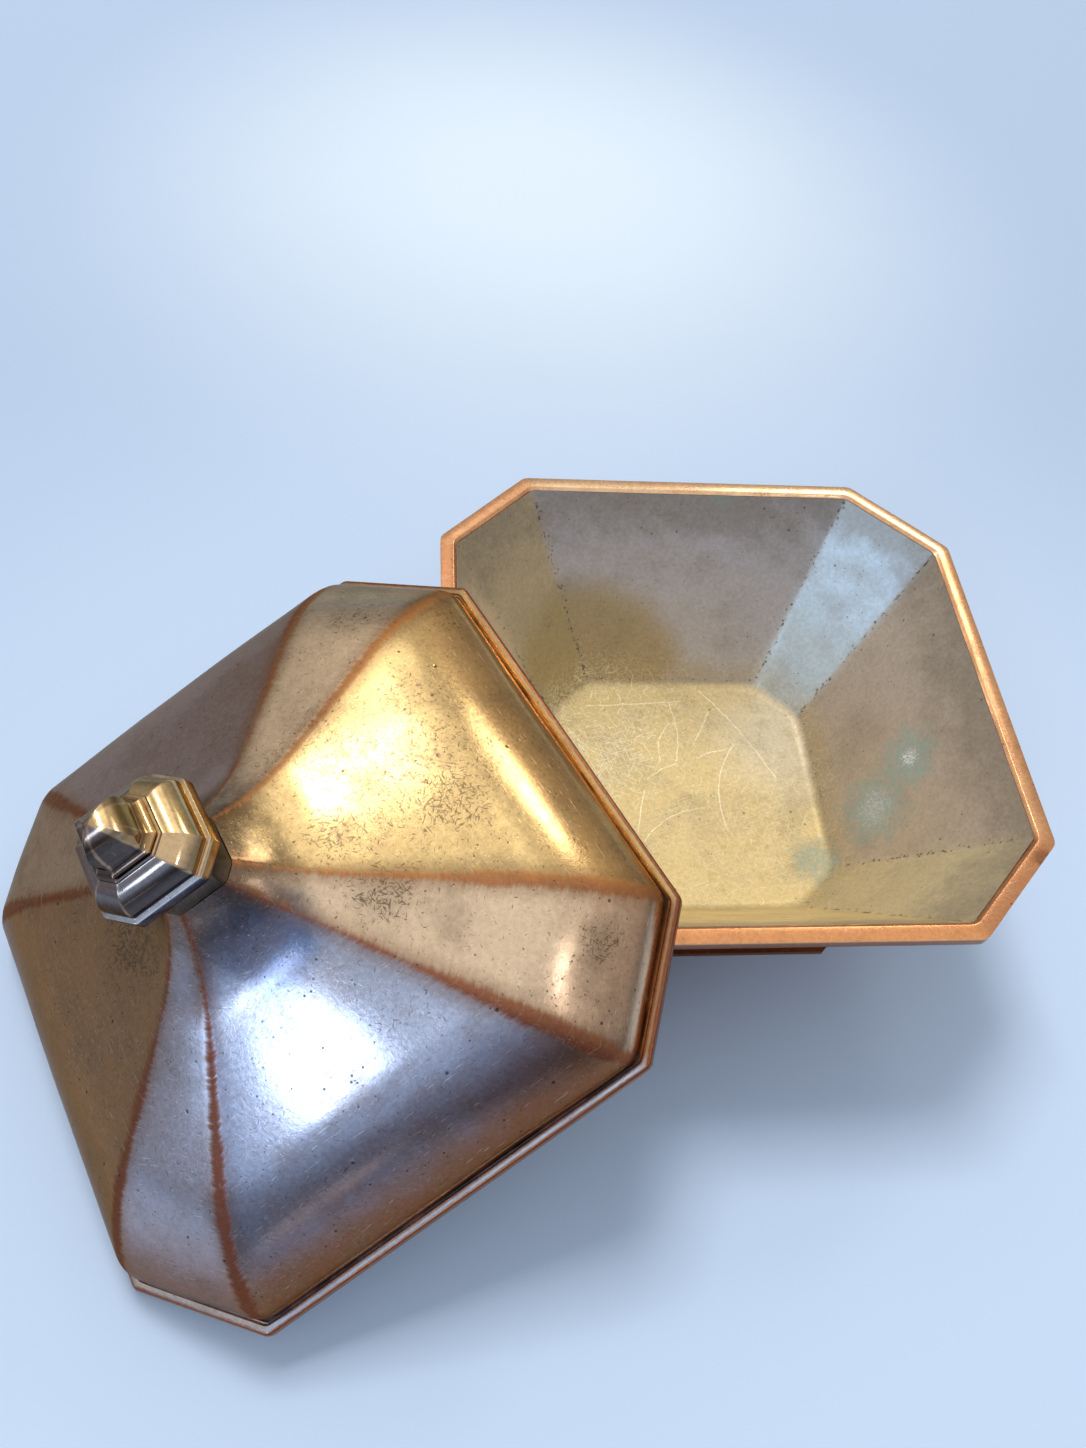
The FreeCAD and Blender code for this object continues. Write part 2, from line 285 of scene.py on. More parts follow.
def arc_points(first, second, third, steps):
    """Points after the first on the circle through three points."""
    (ax, ay), (bx, by), (cx, cy) = first, second, third
    scale = 2 * (ax * (by - cy) + bx * (cy - ay) + cx * (ay - by))
    sums = [x * x + y * y for x, y in (first, second, third)]
    ox = (sums[0] * (by - cy) + sums[1] * (cy - ay) + sums[2] * (ay - by)) / scale
    oy = (sums[0] * (cx - bx) + sums[1] * (ax - cx) + sums[2] * (bx - ax)) / scale
    radius = math.hypot(ax - ox, ay - oy)
    begin = math.atan2(ay - oy, ax - ox)
    end = math.atan2(cy - oy, cx - ox)
    sweep = (end - begin + math.pi) % (2 * math.pi) - math.pi
    angles = [begin + sweep * step / steps for step in range(1, steps + 1)]
    return [(ox + radius * math.cos(angle), oy + radius * math.sin(angle)) for angle in angles]


# %% [markdown]
# ## The bowl
# The bowl is pressed from one sheet: a flat floor, a small radius, and eight straight walls. The
# creases between the walls are crisp at the mouth and rounder where they run into the floor. Only the
# inner face is modelled; Solidify then gives the sheet its thickness on the outside.

# %% Bowl
rim_width = 0.0042
rim_cover = 0.0008
mouth_cut = 0.0249
floor_half = 0.0396
floor_cut = 0.0124
floor_radius = 0.004
bowl_sheet = 0.001
crease_at_floor = 0.0045
crease_at_mouth = 0.0007
wall_levels = 14
floor_levels = 5
longest_edge = 0.006

floor_height = foot_top + bowl_sheet
bowl_depth = rim_top - floor_height
inner_half = mouth_half - rim_width
inner_cut = mouth_cut - rim_width * cut_share
wall_lean = (inner_half - floor_half) / bowl_depth
wall_slope = math.atan(1 / wall_lean)
floor_flat = floor_half - floor_radius * math.tan(wall_slope / 2)


def bowl_level(half, height):
    rise = (height - floor_height) / bowl_depth
    spread = half - floor_half - (height - floor_height) * wall_lean
    cut = floor_cut + (inner_cut - floor_cut) * rise + spread * cut_share
    soft = crease_at_mouth + (crease_at_floor - crease_at_mouth) * (1 - rise) ** 3
    return half, cut, height, soft


bowl_profile = [(floor_flat, floor_height)]
for step in range(1, floor_levels + 1):
    slope = wall_slope * step / floor_levels
    bowl_profile.append((floor_flat + floor_radius * math.sin(slope),
                         floor_height + floor_radius * (1 - math.cos(slope))))
lip = (inner_half - rim_cover * wall_lean, rim_top - rim_cover)
bowl_profile += line_points(bowl_profile[-1], lip, wall_levels)

bowl = eight_sided("bowl_sheet", bowl_level, bowl_profile, caps=(1,))
bpy.ops.object.mode_set(mode="EDIT")
bpy.ops.mesh.select_all(action="SELECT")
bpy.ops.mesh.normals_make_consistent(inside=True)
bpy.ops.object.mode_set(mode="OBJECT")
cut_long_edges(bowl, longest_edge, 7)
dent(bowl, "dent_noise", size=0.022, depth=1, strength=0.0004, level=0.5)
apply_modifier(bowl, "SOLIDIFY", thickness=bowl_sheet, offset=-1)
hand_over(bowl, 32, bowl_place, "box", "bowl")

# %% [markdown]
# ## The rim frame
# A flat copper frame is soldered over the edge of the bowl's sheet. Its section is a small block with
# a bevel on the inside. A closed run of outlines makes the whole frame at once, and a Bevel modifier
# takes the sharpness off every edge, which is what catches the bright lines of light.

# %% Rim frame
rim_height = 0.0032
rim_bevel = 0.0005
rim_corner = 0.0013
edge_bevel = 0.00018


def rim_level(inset, height):
    return mouth_half - inset, mouth_cut - inset * cut_share, height, rim_corner


bevel_foot = rim_width + rim_cover * wall_lean
lap = bevel_foot - bowl_sheet / math.sin(wall_slope)
lap_foot = lap + (rim_height - rim_cover) * wall_lean
rim_section = [
    (0, rim_top - rim_height),
    (0, rim_top),
    (rim_width - rim_bevel, rim_top),
    (bevel_foot, rim_top - rim_cover),
    (lap, rim_top - rim_cover),
    (lap_foot, rim_top - rim_height),
]
rim = eight_sided("copper_rim", rim_level, rim_section + rim_section[:1])
cut_long_edges(rim, longest_edge, 24)
soften_edges(rim, edge_bevel, 35)
dent(rim, "rim_noise", size=0.012, depth=2, strength=0.00012, level=1)
hand_over(rim, 40, bowl_place, "box", "rim_frame")

# %% [markdown]
# ## The dome of the lid
# Eight curved sides rise from an upright skirt over a round shoulder to the knob, and meet in ridges.
# All its outlines are alike, so the ridges run straight to the middle. The ridges are soft, and softer
# near the shoulder, where polishing has worn them. Gentle noise dents the sheet a little, because
# polished metal looks flat and false when its reflections have no wobble.

# %% Dome
lid_overhang = 0.00165
lid_cut = 0.0259
lip_width = 0.002
lip_height = 0.0022
lip_radius = 0.0008
groove_width = 0.0007
groove_floor = 0.0012
skirt_height = 0.0025
shoulder_radius = 0.0123
shoulder_slope = math.radians(55.7)
crown_radius = 0.0475
crown_slope = math.radians(22.6)
sweep_radius = 0.0415
sweep_slope = math.radians(55.5)
seat_half = 0.0088
dome_sheet = 0.001
ridge_soft = 0.0030
ridge_soft_top = 0.0007

lid_half = mouth_half + lid_overhang
lid_ratio = lid_cut / lid_half
skirt_half = lid_half - lip_width - groove_width


def lid_level(half, height):
    soft = ridge_soft_top + (ridge_soft - ridge_soft_top) * half / lid_half
    return half, half * lid_cut / lid_half, height, soft


skirt_top = (skirt_half, groove_floor + skirt_height)
dome_profile = [(skirt_half, groove_floor), (skirt_half, groove_floor + skirt_height / 2), skirt_top]
dome_profile += turn_points(skirt_top, shoulder_radius, math.pi / 2, shoulder_slope, 8)
dome_profile += turn_points(dome_profile[-1], crown_radius, shoulder_slope, crown_slope, 16)
straight_foot = dome_profile[-1]
sweep_across = sweep_radius * (math.sin(sweep_slope) - math.sin(crown_slope))
straight_run = straight_foot[0] - seat_half - sweep_across
straight_head = (straight_foot[0] - straight_run, straight_foot[1] + straight_run * math.tan(crown_slope))
dome_profile += line_points(straight_foot, straight_head, 6)
dome_profile += turn_points(straight_head, -sweep_radius, crown_slope, sweep_slope, 14)
dome_top = dome_profile[-1][1]

dome = eight_sided("lid_dome_sheet", lid_level, dome_profile, caps=(len(dome_profile),))
cut_long_edges(dome, 0.004, 13)
print("dome rises to", round(dome_top, 5), "and has", len(dome.data.vertices), "points")

# %% [markdown]
# Pressed sheet bulges a little between its ridges. A vertex group says how much each point moves: most
# in the middle of a side, nothing at a ridge, the skirt or the knob. Displace then moves the points
# along their normals. The bulge gathers each lamp's reflection into a spot, as in the picture.

# %% Bulge and dents of the dome
bulge_height = 0.0016
bulge_reach = 0.05
bulge_start = 0.3

bulge = dome.vertex_groups.new(name="bulge")
for vertex in dome.data.vertices:
    across, along = sorted((abs(vertex.co.x), abs(vertex.co.y)))
    wide, narrow = along, (across + along) / (2 - lid_ratio)
    half = max(wide, narrow)
    if wide > narrow:
        reach, aside = half * (1 - lid_ratio), across
    else:
        reach, aside = half * lid_ratio / math.sqrt(2), (along - across) / math.sqrt(2)
    up = min(max((skirt_half - half) / (bulge_start * skirt_half), 0), 1)
    weight = (1 - min(aside / reach, 1) ** 2) * up * (2 - up) * reach / bulge_reach
    bulge.add([vertex.index], weight, "REPLACE")
apply_modifier(dome, "DISPLACE", strength=bulge_height, mid_level=0, vertex_group="bulge")
dent(dome, "dome_noise", size=0.026, depth=1, strength=0.0006, level=0.5)
apply_modifier(dome, "SOLIDIFY", thickness=dome_sheet, offset=-1)
hand_over(dome, 35, lid_place, "lid", "lid_dome")

# %% [markdown]
# ## The flange of the lid
# The skirt stands in a groove behind a raised lip. The lip's outer edge is rounded over, and old dirt
# fills most of the groove. As with the rim, one closed run of outlines makes the ring, and a Bevel
# modifier softens the edges that are left.

# %% Flange
collar_clearance = 0.0006
collar_sheet = 0.001
lip_steps = 5
lip_corner = 0.0009
dirt_top = 0.0018
dirt_slope = 0.00025
collar_inset = lid_half - (inner_half - collar_clearance - collar_sheet)


def flange_level(inset, height):
    return lid_half - inset, lid_cut - inset * cut_share, height, lip_corner


lip_arc = turn_points((lid_half, lip_height - lip_radius), lip_radius, math.pi / 2, 0, lip_steps)
flange_section = [
    (0, 0),
    (0, lip_height - lip_radius),
    *[(lid_half - half, height) for half, height in lip_arc],
    (lip_width, lip_height),
    (lip_width + dirt_slope, dirt_top),
    (lip_width + groove_width, dirt_top),
    (lip_width + groove_width, groove_floor),
    (collar_inset, groove_floor),
    (collar_inset, 0),
]
flange = eight_sided("lid_lip_ring", flange_level, flange_section + flange_section[:1])
soften_edges(flange, edge_bevel, 50)
hand_over(flange, 35, lid_place, "lid", "lid_flange")

# %% [markdown]
# ## The knob
# The knob is a stack: a waisted neck, a body with an upright band, a narrow ledge, a round flank and a
# thin bead, and a pointed cap over a dark joint. The cap's four narrow sides shrink to a point as it
# rises. Each piece is again a wall through outlines, closed above and below.

# %% Neck
neck_height = 0.0115
neck_waist_half = 0.0070
neck_top_half = 0.0087
neck_soft = 0.0007
neck_waist_share = 0.35
neck_curve_shares = ((0.35, 0.8), (0.62, 0.92))

neck_top = dome_top + neck_height
spread = neck_top_half - neck_waist_half
waist = (neck_waist_half, dome_top + neck_height * neck_waist_share)
flare = [(neck_waist_half + spread * out, dome_top + neck_height * up) for out, up in neck_curve_shares]
neck_profile = [(seat_half, dome_top)]
neck_profile += arc_points(neck_profile[0], waist, flare[0], 10)
neck_profile += arc_points(flare[0], flare[1], (neck_top_half, neck_top), 6)


def neck_level(half, height):
    return half, half * lid_cut / lid_half, height, neck_soft


neck = eight_sided("knob_neck_spool", neck_level, neck_profile, caps=(1, len(neck_profile)))
hand_over(neck, 35, lid_place, "lid", "knob_neck")

# %% Body of the knob
knob_half = 0.013
knob_cut = 0.0053
knob_band = 0.0032
knob_ledge = 0.0009
flank_rise = 0.0063
bead_half = 0.0075
bead_height = 0.0006
knob_soft = 0.0004
knob_bevel = 0.00022
flank_curve_share = (0.293, 0.707)

band_top = neck_top + knob_band
flank_top = band_top + flank_rise
bead_top = flank_top + bead_height
flank_foot = (knob_half - knob_ledge, band_top)
flank_middle = (flank_foot[0] - (flank_foot[0] - bead_half) * flank_curve_share[0],
                band_top + flank_rise * flank_curve_share[1])
body_profile = [(knob_half, neck_top), (knob_half, band_top), flank_foot]
body_profile += arc_points(flank_foot, flank_middle, (bead_half, flank_top), 10)
body_profile += [(bead_half, bead_top)]


def knob_level(half, height):
    return half, half * knob_cut / knob_half, height, knob_soft * half / knob_half


body = eight_sided("knob_body_block", knob_level, body_profile, caps=(1, len(body_profile)))
soften_edges(body, knob_bevel, 35)
hand_over(body, 35, lid_place, "lid", "knob_body")

# %% Cap of the knob
joint_half = 0.0062
joint_height = 0.0004
cap_half = 0.0070
cap_rim = 0.0004
cap_rise = 0.0086
cap_curve_shares = (
    ((0.85, 0.07), (0.76, 0.22)),
    ((0.71, 0.43), (0.62, 0.62)),
    ((0.41, 0.86), (0.1, 1.0)),
)
cap_facet_share = 0.55

cap_foot = bead_top + joint_height
cap_base = cap_foot + cap_rim
cap_profile = [(joint_half, bead_top), (joint_half, cap_foot), (cap_half, cap_foot), (cap_half, cap_base)]
for shares in cap_curve_shares:
    bend, end = [(cap_half * out, cap_base + cap_rise * up) for out, up in shares]
    cap_profile += arc_points(cap_profile[-1], bend, end, 8)


def cap_level(half, height):
    narrowed = 1 - max(height - cap_base, 0) / (cap_rise * cap_facet_share)
    return half, half * knob_cut / knob_half * narrowed, height, knob_soft / 2


cap = eight_sided("knob_cap_point", cap_level, cap_profile, caps=(1, len(cap_profile)))
hand_over(cap, 30, lid_place, "lid", "knob_finial")

# %% [markdown]
# ## Helpers for shader nodes
# Every finish here is a network of nodes that works out colour, roughness and bump from the place on
# the piece. These helpers add a node, a sum, a smooth step, a mix or a ramp in one line each, so the
# cells after them read as recipes. They work in the tree that was started last, from the point here,
# so neither is written out each time. A value can be a plain number or the output of an earlier node.

# %% Node helpers


def feed(socket, value):
    """Links an earlier node's output to a socket, or writes a plain value into it."""
    if isinstance(value, bpy.types.NodeSocket):
        tree.links.new(value, socket)
    else:
        socket.default_value = value


def add_node(kind, inputs=(), **settings):
    node = tree.nodes.new("ShaderNode" + kind)
    for key, value in settings.items():
        setattr(node, key, value)
    for key, value in dict(inputs).items():
        feed(node.inputs[key], value)
    return node


def calc(operation, *values):
    """One sum of a Math node. The five after it are those that come most often."""
    return add_node("Math", enumerate(values), operation=operation).outputs[0]


def times(first, second):
    return calc("MULTIPLY", first, second)


def minus(first, second):
    return calc("SUBTRACT", first, second)


def most(first, second):
    return calc("MAXIMUM", first, second)


def apart(first, second):
    return calc("ABSOLUTE", minus(first, second))


def times_plus(first, second, third):
    return calc("MULTIPLY_ADD", first, second, third)


def step_between(value, low, high, start=0.0, end=1.0):
    """Turns a number that runs from low to high into one that runs smoothly from start to end."""
    inputs = {0: value, 1: low, 2: high, 3: start, 4: end}
    return add_node("MapRange", inputs, interpolation_type="SMOOTHSTEP").outputs[0]


def mix_colours(share, below, above, blend="MIX"):
    inputs = {0: share, 6: below, 7: above}
    return add_node("Mix", data_type="RGBA", blend_type=blend, inputs=inputs).outputs[2]


def colour_ramp(value, stops):
    """The colour at a number, between stops that are a place and a colour each."""
    ramp = add_node("ValToRGB", {0: value})
    elements = ramp.color_ramp.elements
    for number, (place, colour) in enumerate(stops):
        stop = elements[number] if number < 2 else elements.new(place)
        stop.position = place
        stop.color = (*colour, 1)
    return ramp.outputs[0]


# %% [markdown]
# ## World and lamps
# Metal shows what stands round it, so the studio is built like a room. The world is dim at the horizon
# in front and paler overhead and behind, which keeps the front faces dark and rich. A large soft lamp
# high behind the box lights the floor and makes the shadow. Polished metal would show that lamp as one
# blown patch, so the lamp isn't visible in reflections. Smaller and weaker lamps and pale cards take
# its place there: one overhead, cool windows at the front left, one for the shoulder, and a small one
# at the right. Together they light the floor so that its colour comes out about as written. At the
# horizon the world is about as dim and blue as the far end of the floor, so the two run together.

# %% World
world_stops = (
    # sine of the elevation, colour in front of the object, colour behind it
    (0.00, (0.225, 0.275, 0.34), (0.27, 0.30, 0.345)),
    (0.13, (0.16, 0.175, 0.215), (0.27, 0.27, 0.275)),
    (0.48, (0.35, 0.38, 0.47), (0.49, 0.45, 0.40)),
    (0.80, (0.60, 0.60, 0.60), (0.69, 0.66, 0.62)),
    (1.00, (0.74, 0.73, 0.70), (0.74, 0.73, 0.70)),
)
front_end = -0.75
back_start = 0.15

world = bpy.data.worlds.new("studio")
bpy.context.scene.world = world
world.use_nodes = True
tree = world.node_tree
split = add_node("SeparateXYZ", {0: add_node("TexCoord").outputs["Generated"]}).outputs
front, back = [colour_ramp(split["Z"], [(row[0], row[side]) for row in world_stops]) for side in (1, 2)]
sky = mix_colours(step_between(split["Y"], front_end, back_start), front, back)
feed(tree.nodes["Background"].inputs["Color"], sky)
print("world has", len(world_stops), "levels from the horizon to overhead")


# %% Lamps
lamp_target = Vector((0, 0, 0.04))
lamp_distance = 2.6
lamp_table = (
    # name, azimuth, elevation, width, height, brightness, colour, seen in reflections
    ("soft_key", -17, 66, 0.75, 0.75, 19.0, (1.0, 0.955, 0.89), False),
    ("overhead_lamp", -25.5, 58, 0.24, 0.21, 24.0, (1.0, 0.97, 0.95), True),
    ("overhead_card", -14, 56, 1.50, 1.30, 0.75, (1.0, 0.96, 0.90), True),
    ("shoulder_lamp", 31, 41, 0.50, 0.42, 7.0, (1.0, 0.95, 0.86), True),
    ("window_lamp", -143, 36, 0.46, 0.38, 6.5, (0.80, 0.90, 1.0), True),
    ("window_card", -152, 33, 1.60, 1.20, 0.25, (0.70, 0.84, 1.0), True),
    ("side_window", -123, 20, 0.70, 0.42, 4.6, (0.38, 0.65, 1.0), True),
    ("left_card", -118, 9, 1.70, 0.60, 0.18, (0.92, 0.92, 1.0), True),
    ("sill_card", -173, 3.5, 0.60, 0.11, 1.1, (1.0, 0.84, 0.66), True),
    ("right_lamp", 132, 55, 0.07, 0.07, 60.0, (1.0, 0.97, 0.94), True),
)


def add_lamp(name, azimuth, elevation, width, height, brightness, colour, seen):
    """A soft lamp that looks at the middle of the object from a direction in degrees.

    Its brightness is that of its surface, where a white wall in full light has 1.
    """
    data = bpy.data.lights.new(name, "AREA")
    data.shape = "RECTANGLE"
    data.size = width
    data.size_y = height
    data.energy = brightness * math.pi * width * height
    data.color = colour
    lamp = bpy.data.objects.new(name, data)
    bpy.context.scene.collection.objects.link(lamp)
    turn, lift = math.radians(azimuth), math.radians(elevation)
    way = Vector((math.sin(turn) * math.cos(lift), math.cos(turn) * math.cos(lift), math.sin(lift)))
    lamp.location = lamp_target + way * lamp_distance
    lamp.rotation_euler = (-way).to_track_quat("-Z", "Y").to_euler()
    lamp.visible_glossy = seen
    lamp.visible_camera = False


for row in lamp_table:
    add_lamp(*row)
print("lamps:", [row[0] for row in lamp_table])

# %% [markdown]
# ## Shared effects
# The box wears in the same few ways everywhere, so each way is one node group with named inputs, and
# every finish places it with its own numbers. More helpers start and end a group, and place it with
# its inputs by name. Groups and noise are read at the point here unless another is given.

# %% Group helpers
input_kinds = {1: "NodeSocketFloat", 3: "NodeSocketVector", 4: "NodeSocketColor"}
output_kinds = {"VALUE": "NodeSocketFloat", "VECTOR": "NodeSocketVector", "RGBA": "NodeSocketColor"}


def new_group(name, inputs):
    """Starts a group, with inputs that have a name and a default value each.

    Its first input is the point, and from now on the helpers work in the group, from that point.
    """
    global tree, here, given
    tree = bpy.data.node_groups.new(name, "ShaderNodeTree")
    for label, value in {"Vector": (0, 0, 0), **inputs}.items():
        size = len(value) if isinstance(value, tuple) else 1
        socket = tree.interface.new_socket(label, in_out="INPUT", socket_type=input_kinds[size])
        socket.default_value = value
    given = tree.nodes.new("NodeGroupInput").outputs
    here = given["Vector"]
    return tree


def put_out(**values):
    """Ends a group: each value gets an output, whose name is given in small letters."""
    for label, value in values.items():
        tree.interface.new_socket(label.title(), in_out="OUTPUT", socket_type=output_kinds[value.type])
    ends = tree.nodes.new("NodeGroupOutput").inputs
    for label, value in values.items():
        feed(ends[label.title()], value)
    print("group", tree.name, "puts out", [label.title() for label in values])


def place_group(group, at=None, **values):
    """Places a group at the point here or at another. An input's name is given in small letters."""
    node = tree.nodes.new("ShaderNodeGroup")
    node.node_tree = group
    feed(node.inputs["Vector"], here if at is None else at)
    for label, value in values.items():
        feed(node.inputs[label.replace("_", " ").title()], value)
    return node.outputs


def mask_of(group, at=None, **values):
    return place_group(group, at, **values)["Mask"]


def noise(scale, detail=3.0, roughness=0.6, at=None):
    inputs = {"Vector": here if at is None else at, "Scale": scale, "Detail": detail, "Roughness": roughness}
    return add_node("TexNoise", inputs).outputs["Fac"]


def local_place(vector, location=(0, 0, 0), degrees=(0, 0, 0), scale=(1, 1, 1)):
    """The same point measured from another place, in other directions and units."""
    rotation = tuple(math.radians(angle) for angle in degrees)
    inputs = {"Vector": vector, "Location": location, "Rotation": rotation, "Scale": scale}
    return add_node("Mapping", inputs, vector_type="TEXTURE").outputs[0]


def way_from(centre):
    """The way from a centre to the point here."""
    return add_node("VectorMath", {0: here, 1: centre}, operation="SUBTRACT").outputs[0]


def length_of(way):
    return add_node("VectorMath", {0: way}, operation="LENGTH").outputs["Value"]


def parts_of(vector):
    return add_node("SeparateXYZ", {0: vector}).outputs


def joined(*parts):
    return add_node("CombineXYZ", enumerate(parts)).outputs[0]


def random_cells(at, scale, **settings):
    """How far a point is from the centre of its cell, and random numbers that the cell has."""
    cells = add_node("TexVoronoi", {"Vector": at, "Scale": scale}, **settings).outputs
    return cells["Distance"], add_node("SeparateColor", {0: cells["Color"]}).outputs


# %% [markdown]
# The first group tells where on an eight-sided form a point is: how far from the nearest ridge, how
# far out, and which way round. It works in plan, from the form's own middle, so it needs no painted
# map. Its last output joins how far out and which way round into one vector, on which noise runs
# round the form, as polishing does.

# %% Group: place on an eight-sided form
plan_gap = 1.5

eight_sides = new_group("eight_sides", {"Ratio": 0.34})
split = parts_of(here)
across, along = [calc("ABSOLUTE", split[axis]) for axis in range(2)]
wide = most(across, along)
narrow = calc("DIVIDE", calc("ADD", across, along), minus(2, given["Ratio"]))
half = most(wide, narrow)
turn = times_plus(calc("ARCTAN2", split[1], split[0]), 0.5 / math.pi, 0.5)
put_out(gap=times(apart(wide, narrow), plan_gap), half=half, turn=turn, height=split[2],
        round=joined(half, turn, split[2]))

# %% [markdown]
# Wear takes a band along an edge, ragged because rubbing never stops in a line. The band is wanted
# wherever a measure, such as the distance from a ridge, is less than a width that noise shifts.

# %% Group: ragged band
ragged_band = new_group(
    "ragged_band", {"Measure": 0.0, "Width": 0.001, "Ragged": 0.001, "Soft": 0.0005, "Scale": 220.0})
shift = times(minus(noise(given["Scale"], 5.0, 0.7), 0.5), given["Ragged"])
measure = calc("ADD", given["Measure"], shift)
outer = calc("ADD", given["Width"], given["Soft"])
put_out(mask=step_between(measure, outer, given["Width"]))

# %% [markdown]
# A stain is a spot with a ragged edge round a place. It serves for the verdigris in the bowl, a burnt
# mark on the rim, and dirt near the knob.

# %% Group: stain
ragged_spot = new_group(
    "ragged_spot", {"Centre": (0, 0, 0), "Radius": 0.005, "Ragged": 0.6, "Scale": 300.0, "Soft": 0.5})
share = calc("DIVIDE", length_of(way_from(given["Centre"])), given["Radius"])
rough = minus(noise(given["Scale"], 5.0, 0.7), 0.5)
edge = times_plus(rough, given["Ragged"], share)
put_out(mask=step_between(edge, 1, minus(1, given["Soft"])))

# %% [markdown]
# Pits are round and lie at random. A Voronoi texture gives each cell a centre and a random colour:
# one channel decides whether the cell has a pit at all, and another how large it is.

# %% Group: pits
small_pits = new_group("small_pits", {"Scale": 500.0, "Size": 0.3, "Share": 0.4})
distance, chance = random_cells(here, given["Scale"])
reach = times(given["Size"], times_plus(chance[1], 0.8, 0.2))
pit = step_between(distance, reach, times(reach, 0.4))
put_out(mask=times(pit, calc("LESS_THAN", chance[0], given["Share"])))

# %% [markdown]
# Hair scratches come from cloths and fingers. Noise that is stretched long and thin, and cut off near
# its peaks, leaves short hairs. Four directions are laid over each other, and patches thin them out.
# A polishing cloth goes round the lid, so most of its hairs run along the sides: the same kind of
# noise is laid on the vector that runs round the form. Where the tin is worst, it is covered with
# short dark dashes that lie every way, and their number grows with a patch that the finish gives.

# %% Groups: hair scratches, polish lines and dark dashes
hair_size = (0.007, 0.00032, 0.0008)
hair_placings = [((0, 0, 0), (tilt, 0, turn), hair_size)
                 for tilt, turn in ((25, 18), (-20, 67), (15, 112), (-30, 158))]
line_placings = [((0, 0, 0), (0, 0, 0.0), (0.00017, 0.018, 0.02)),
                 ((0, 0, 0), (0, 0, 1.3), (0.00022, 0.009, 0.02))]
dash_size = (0.0021, 0.00042, 0.0010)
dash_placings = [((turn / 1000, 0, 0), (0, 0, turn), dash_size) for turn in (5, 48, 95, 139)]


def streaks(placings, low, softness, detail):
    """Marks where stretched noise is over a level."""
    high = calc("ADD", low, softness)
    marks = 0.0
    for location, degrees, size in placings:
        stretched = local_place(here, location, degrees, size)
        marks = most(marks, step_between(noise(1.0, detail, at=stretched), low, high))
    return marks


hair_scratches = new_group("hair_scratches", {"Density": 0.5, "Patches": 60.0})
hairs = streaks(hair_placings, times_plus(given["Density"], -0.2, 0.76), 0.07, 1.0)
put_out(mask=times(hairs, step_between(noise(given["Patches"]), 0.38, 0.62, 0.25)))

polish_lines = new_group("polish_lines", {"Density": 0.5})
put_out(mask=streaks(line_placings, times_plus(given["Density"], -0.2, 0.78), 0.06, 1.5))

dark_dashes = new_group("dark_dashes", {"Patch": 0.5})
put_out(mask=streaks(dash_placings, times_plus(given["Patch"], -0.15, 0.71), 0.07, 1.5))

# %% [markdown]
# Long curved scratches are parts of circles round random centres. The distance that a flat Voronoi
# texture gives is the distance from such a centre, so one value of it draws a circle in each cell.
# Noise breaks the circles into arcs, and bends them a little so that they don't look drawn.

# %% Group: curved scratches
bend_size = (0.012, 0.012, 0)


def scratch_line(off_line):
    """A line that is soft at its edges, where the distance from its middle is less than its width."""
    return step_between(calc("ABSOLUTE", off_line), given["Width"], times(given["Width"], 0.3))


curved_scratches = new_group(
    "curved_scratches", {"Scale": 30.0, "Radius": 0.5, "Width": 0.01, "Share": 0.5})
bend = add_node("TexNoise", {"Vector": here, "Scale": given["Scale"]}).outputs[1]
bent = add_node("VectorMath", {0: bend, 1: bend_size, 2: here}, operation="MULTIPLY_ADD").outputs[0]
distance, chance = random_cells(bent, given["Scale"], voronoi_dimensions="2D")
line = scratch_line(minus(distance, times(given["Radius"], calc("ADD", chance[0], 0.4))))
arcs = step_between(noise(times(given["Scale"], 2.3)), 0.47, 0.56)
put_out(mask=times(times(line, arcs), calc("LESS_THAN", chance[1], given["Share"])))

# %% [markdown]
# One deep scratch is an arc in plan with a place of its own: a centre, a radius, and the angle that it
# spans. Comparing cosines instead of angles needs no care where a full turn ends.

# %% Group: one deep scratch
arc_scratch = new_group(
    "arc_scratch", {"Centre": (0, 0, 0), "Radius": 0.02, "Middle": 0.0, "Spread": 0.9, "Width": 0.00028})
split = parts_of(way_from(given["Centre"]))
wobble = times_plus(noise(260.0), 0.0012, -0.0006)
line = scratch_line(calc("ADD", minus(length_of(joined(*split[:2])), given["Radius"]), wobble))
angle = minus(calc("ARCTAN2", split[1], split[0]), given["Middle"])
span = step_between(calc("COSINE", angle), given["Spread"], times_plus(given["Spread"], 0.85, 0.15))
flicker = step_between(noise(700.0), 0.3, 0.55, 0.35)
put_out(mask=times(times(line, span), flicker))

# %% [markdown]
# Old metal has all of these at once, over a fresh colour and a worn one. This group gathers them: it
# mixes the two metals by a wear mask, clouds them with stains, adds pits and hair scratches, and
# gives out the colour, the roughness and a height for the Bump node of the finish.

# %% Group: aged metal
hair_tint = (1.0, 0.90, 0.76, 1)
pit_tint = (0.035, 0.024, 0.018, 1)

aged_metal = new_group(
    "aged_metal",
    {"Metal": (0.7, 0.6, 0.5, 1), "Worn": (0.5, 0.2, 0.1, 1), "Wear": 0.0, "Stain": (0.25, 0.17, 0.1, 1),
     "Stains": 0.4, "Stain Scale": 70.0, "Pits": 0.5, "Scratches": 0.5, "Lines": 0.0, "Gloss": 0.25})
clouds = noise(given["Stain Scale"], 6.0, 0.68)
stains = times(step_between(clouds, 0.42, 0.70), given["Stains"])
grain = noise(900.0, 3.0, 0.7)
gathered = step_between(clouds, 0.50, 0.72, 0.06, 0.75)
fine = mask_of(small_pits, scale=1100.0, size=0.36, share=gathered)
large = mask_of(small_pits, scale=260.0, size=0.16, share=0.35)
pits = times(most(fine, large), given["Pits"])
hairs = mask_of(hair_scratches, density=given["Scratches"])
hairs = most(times(hairs, given["Scratches"]), given["Lines"])
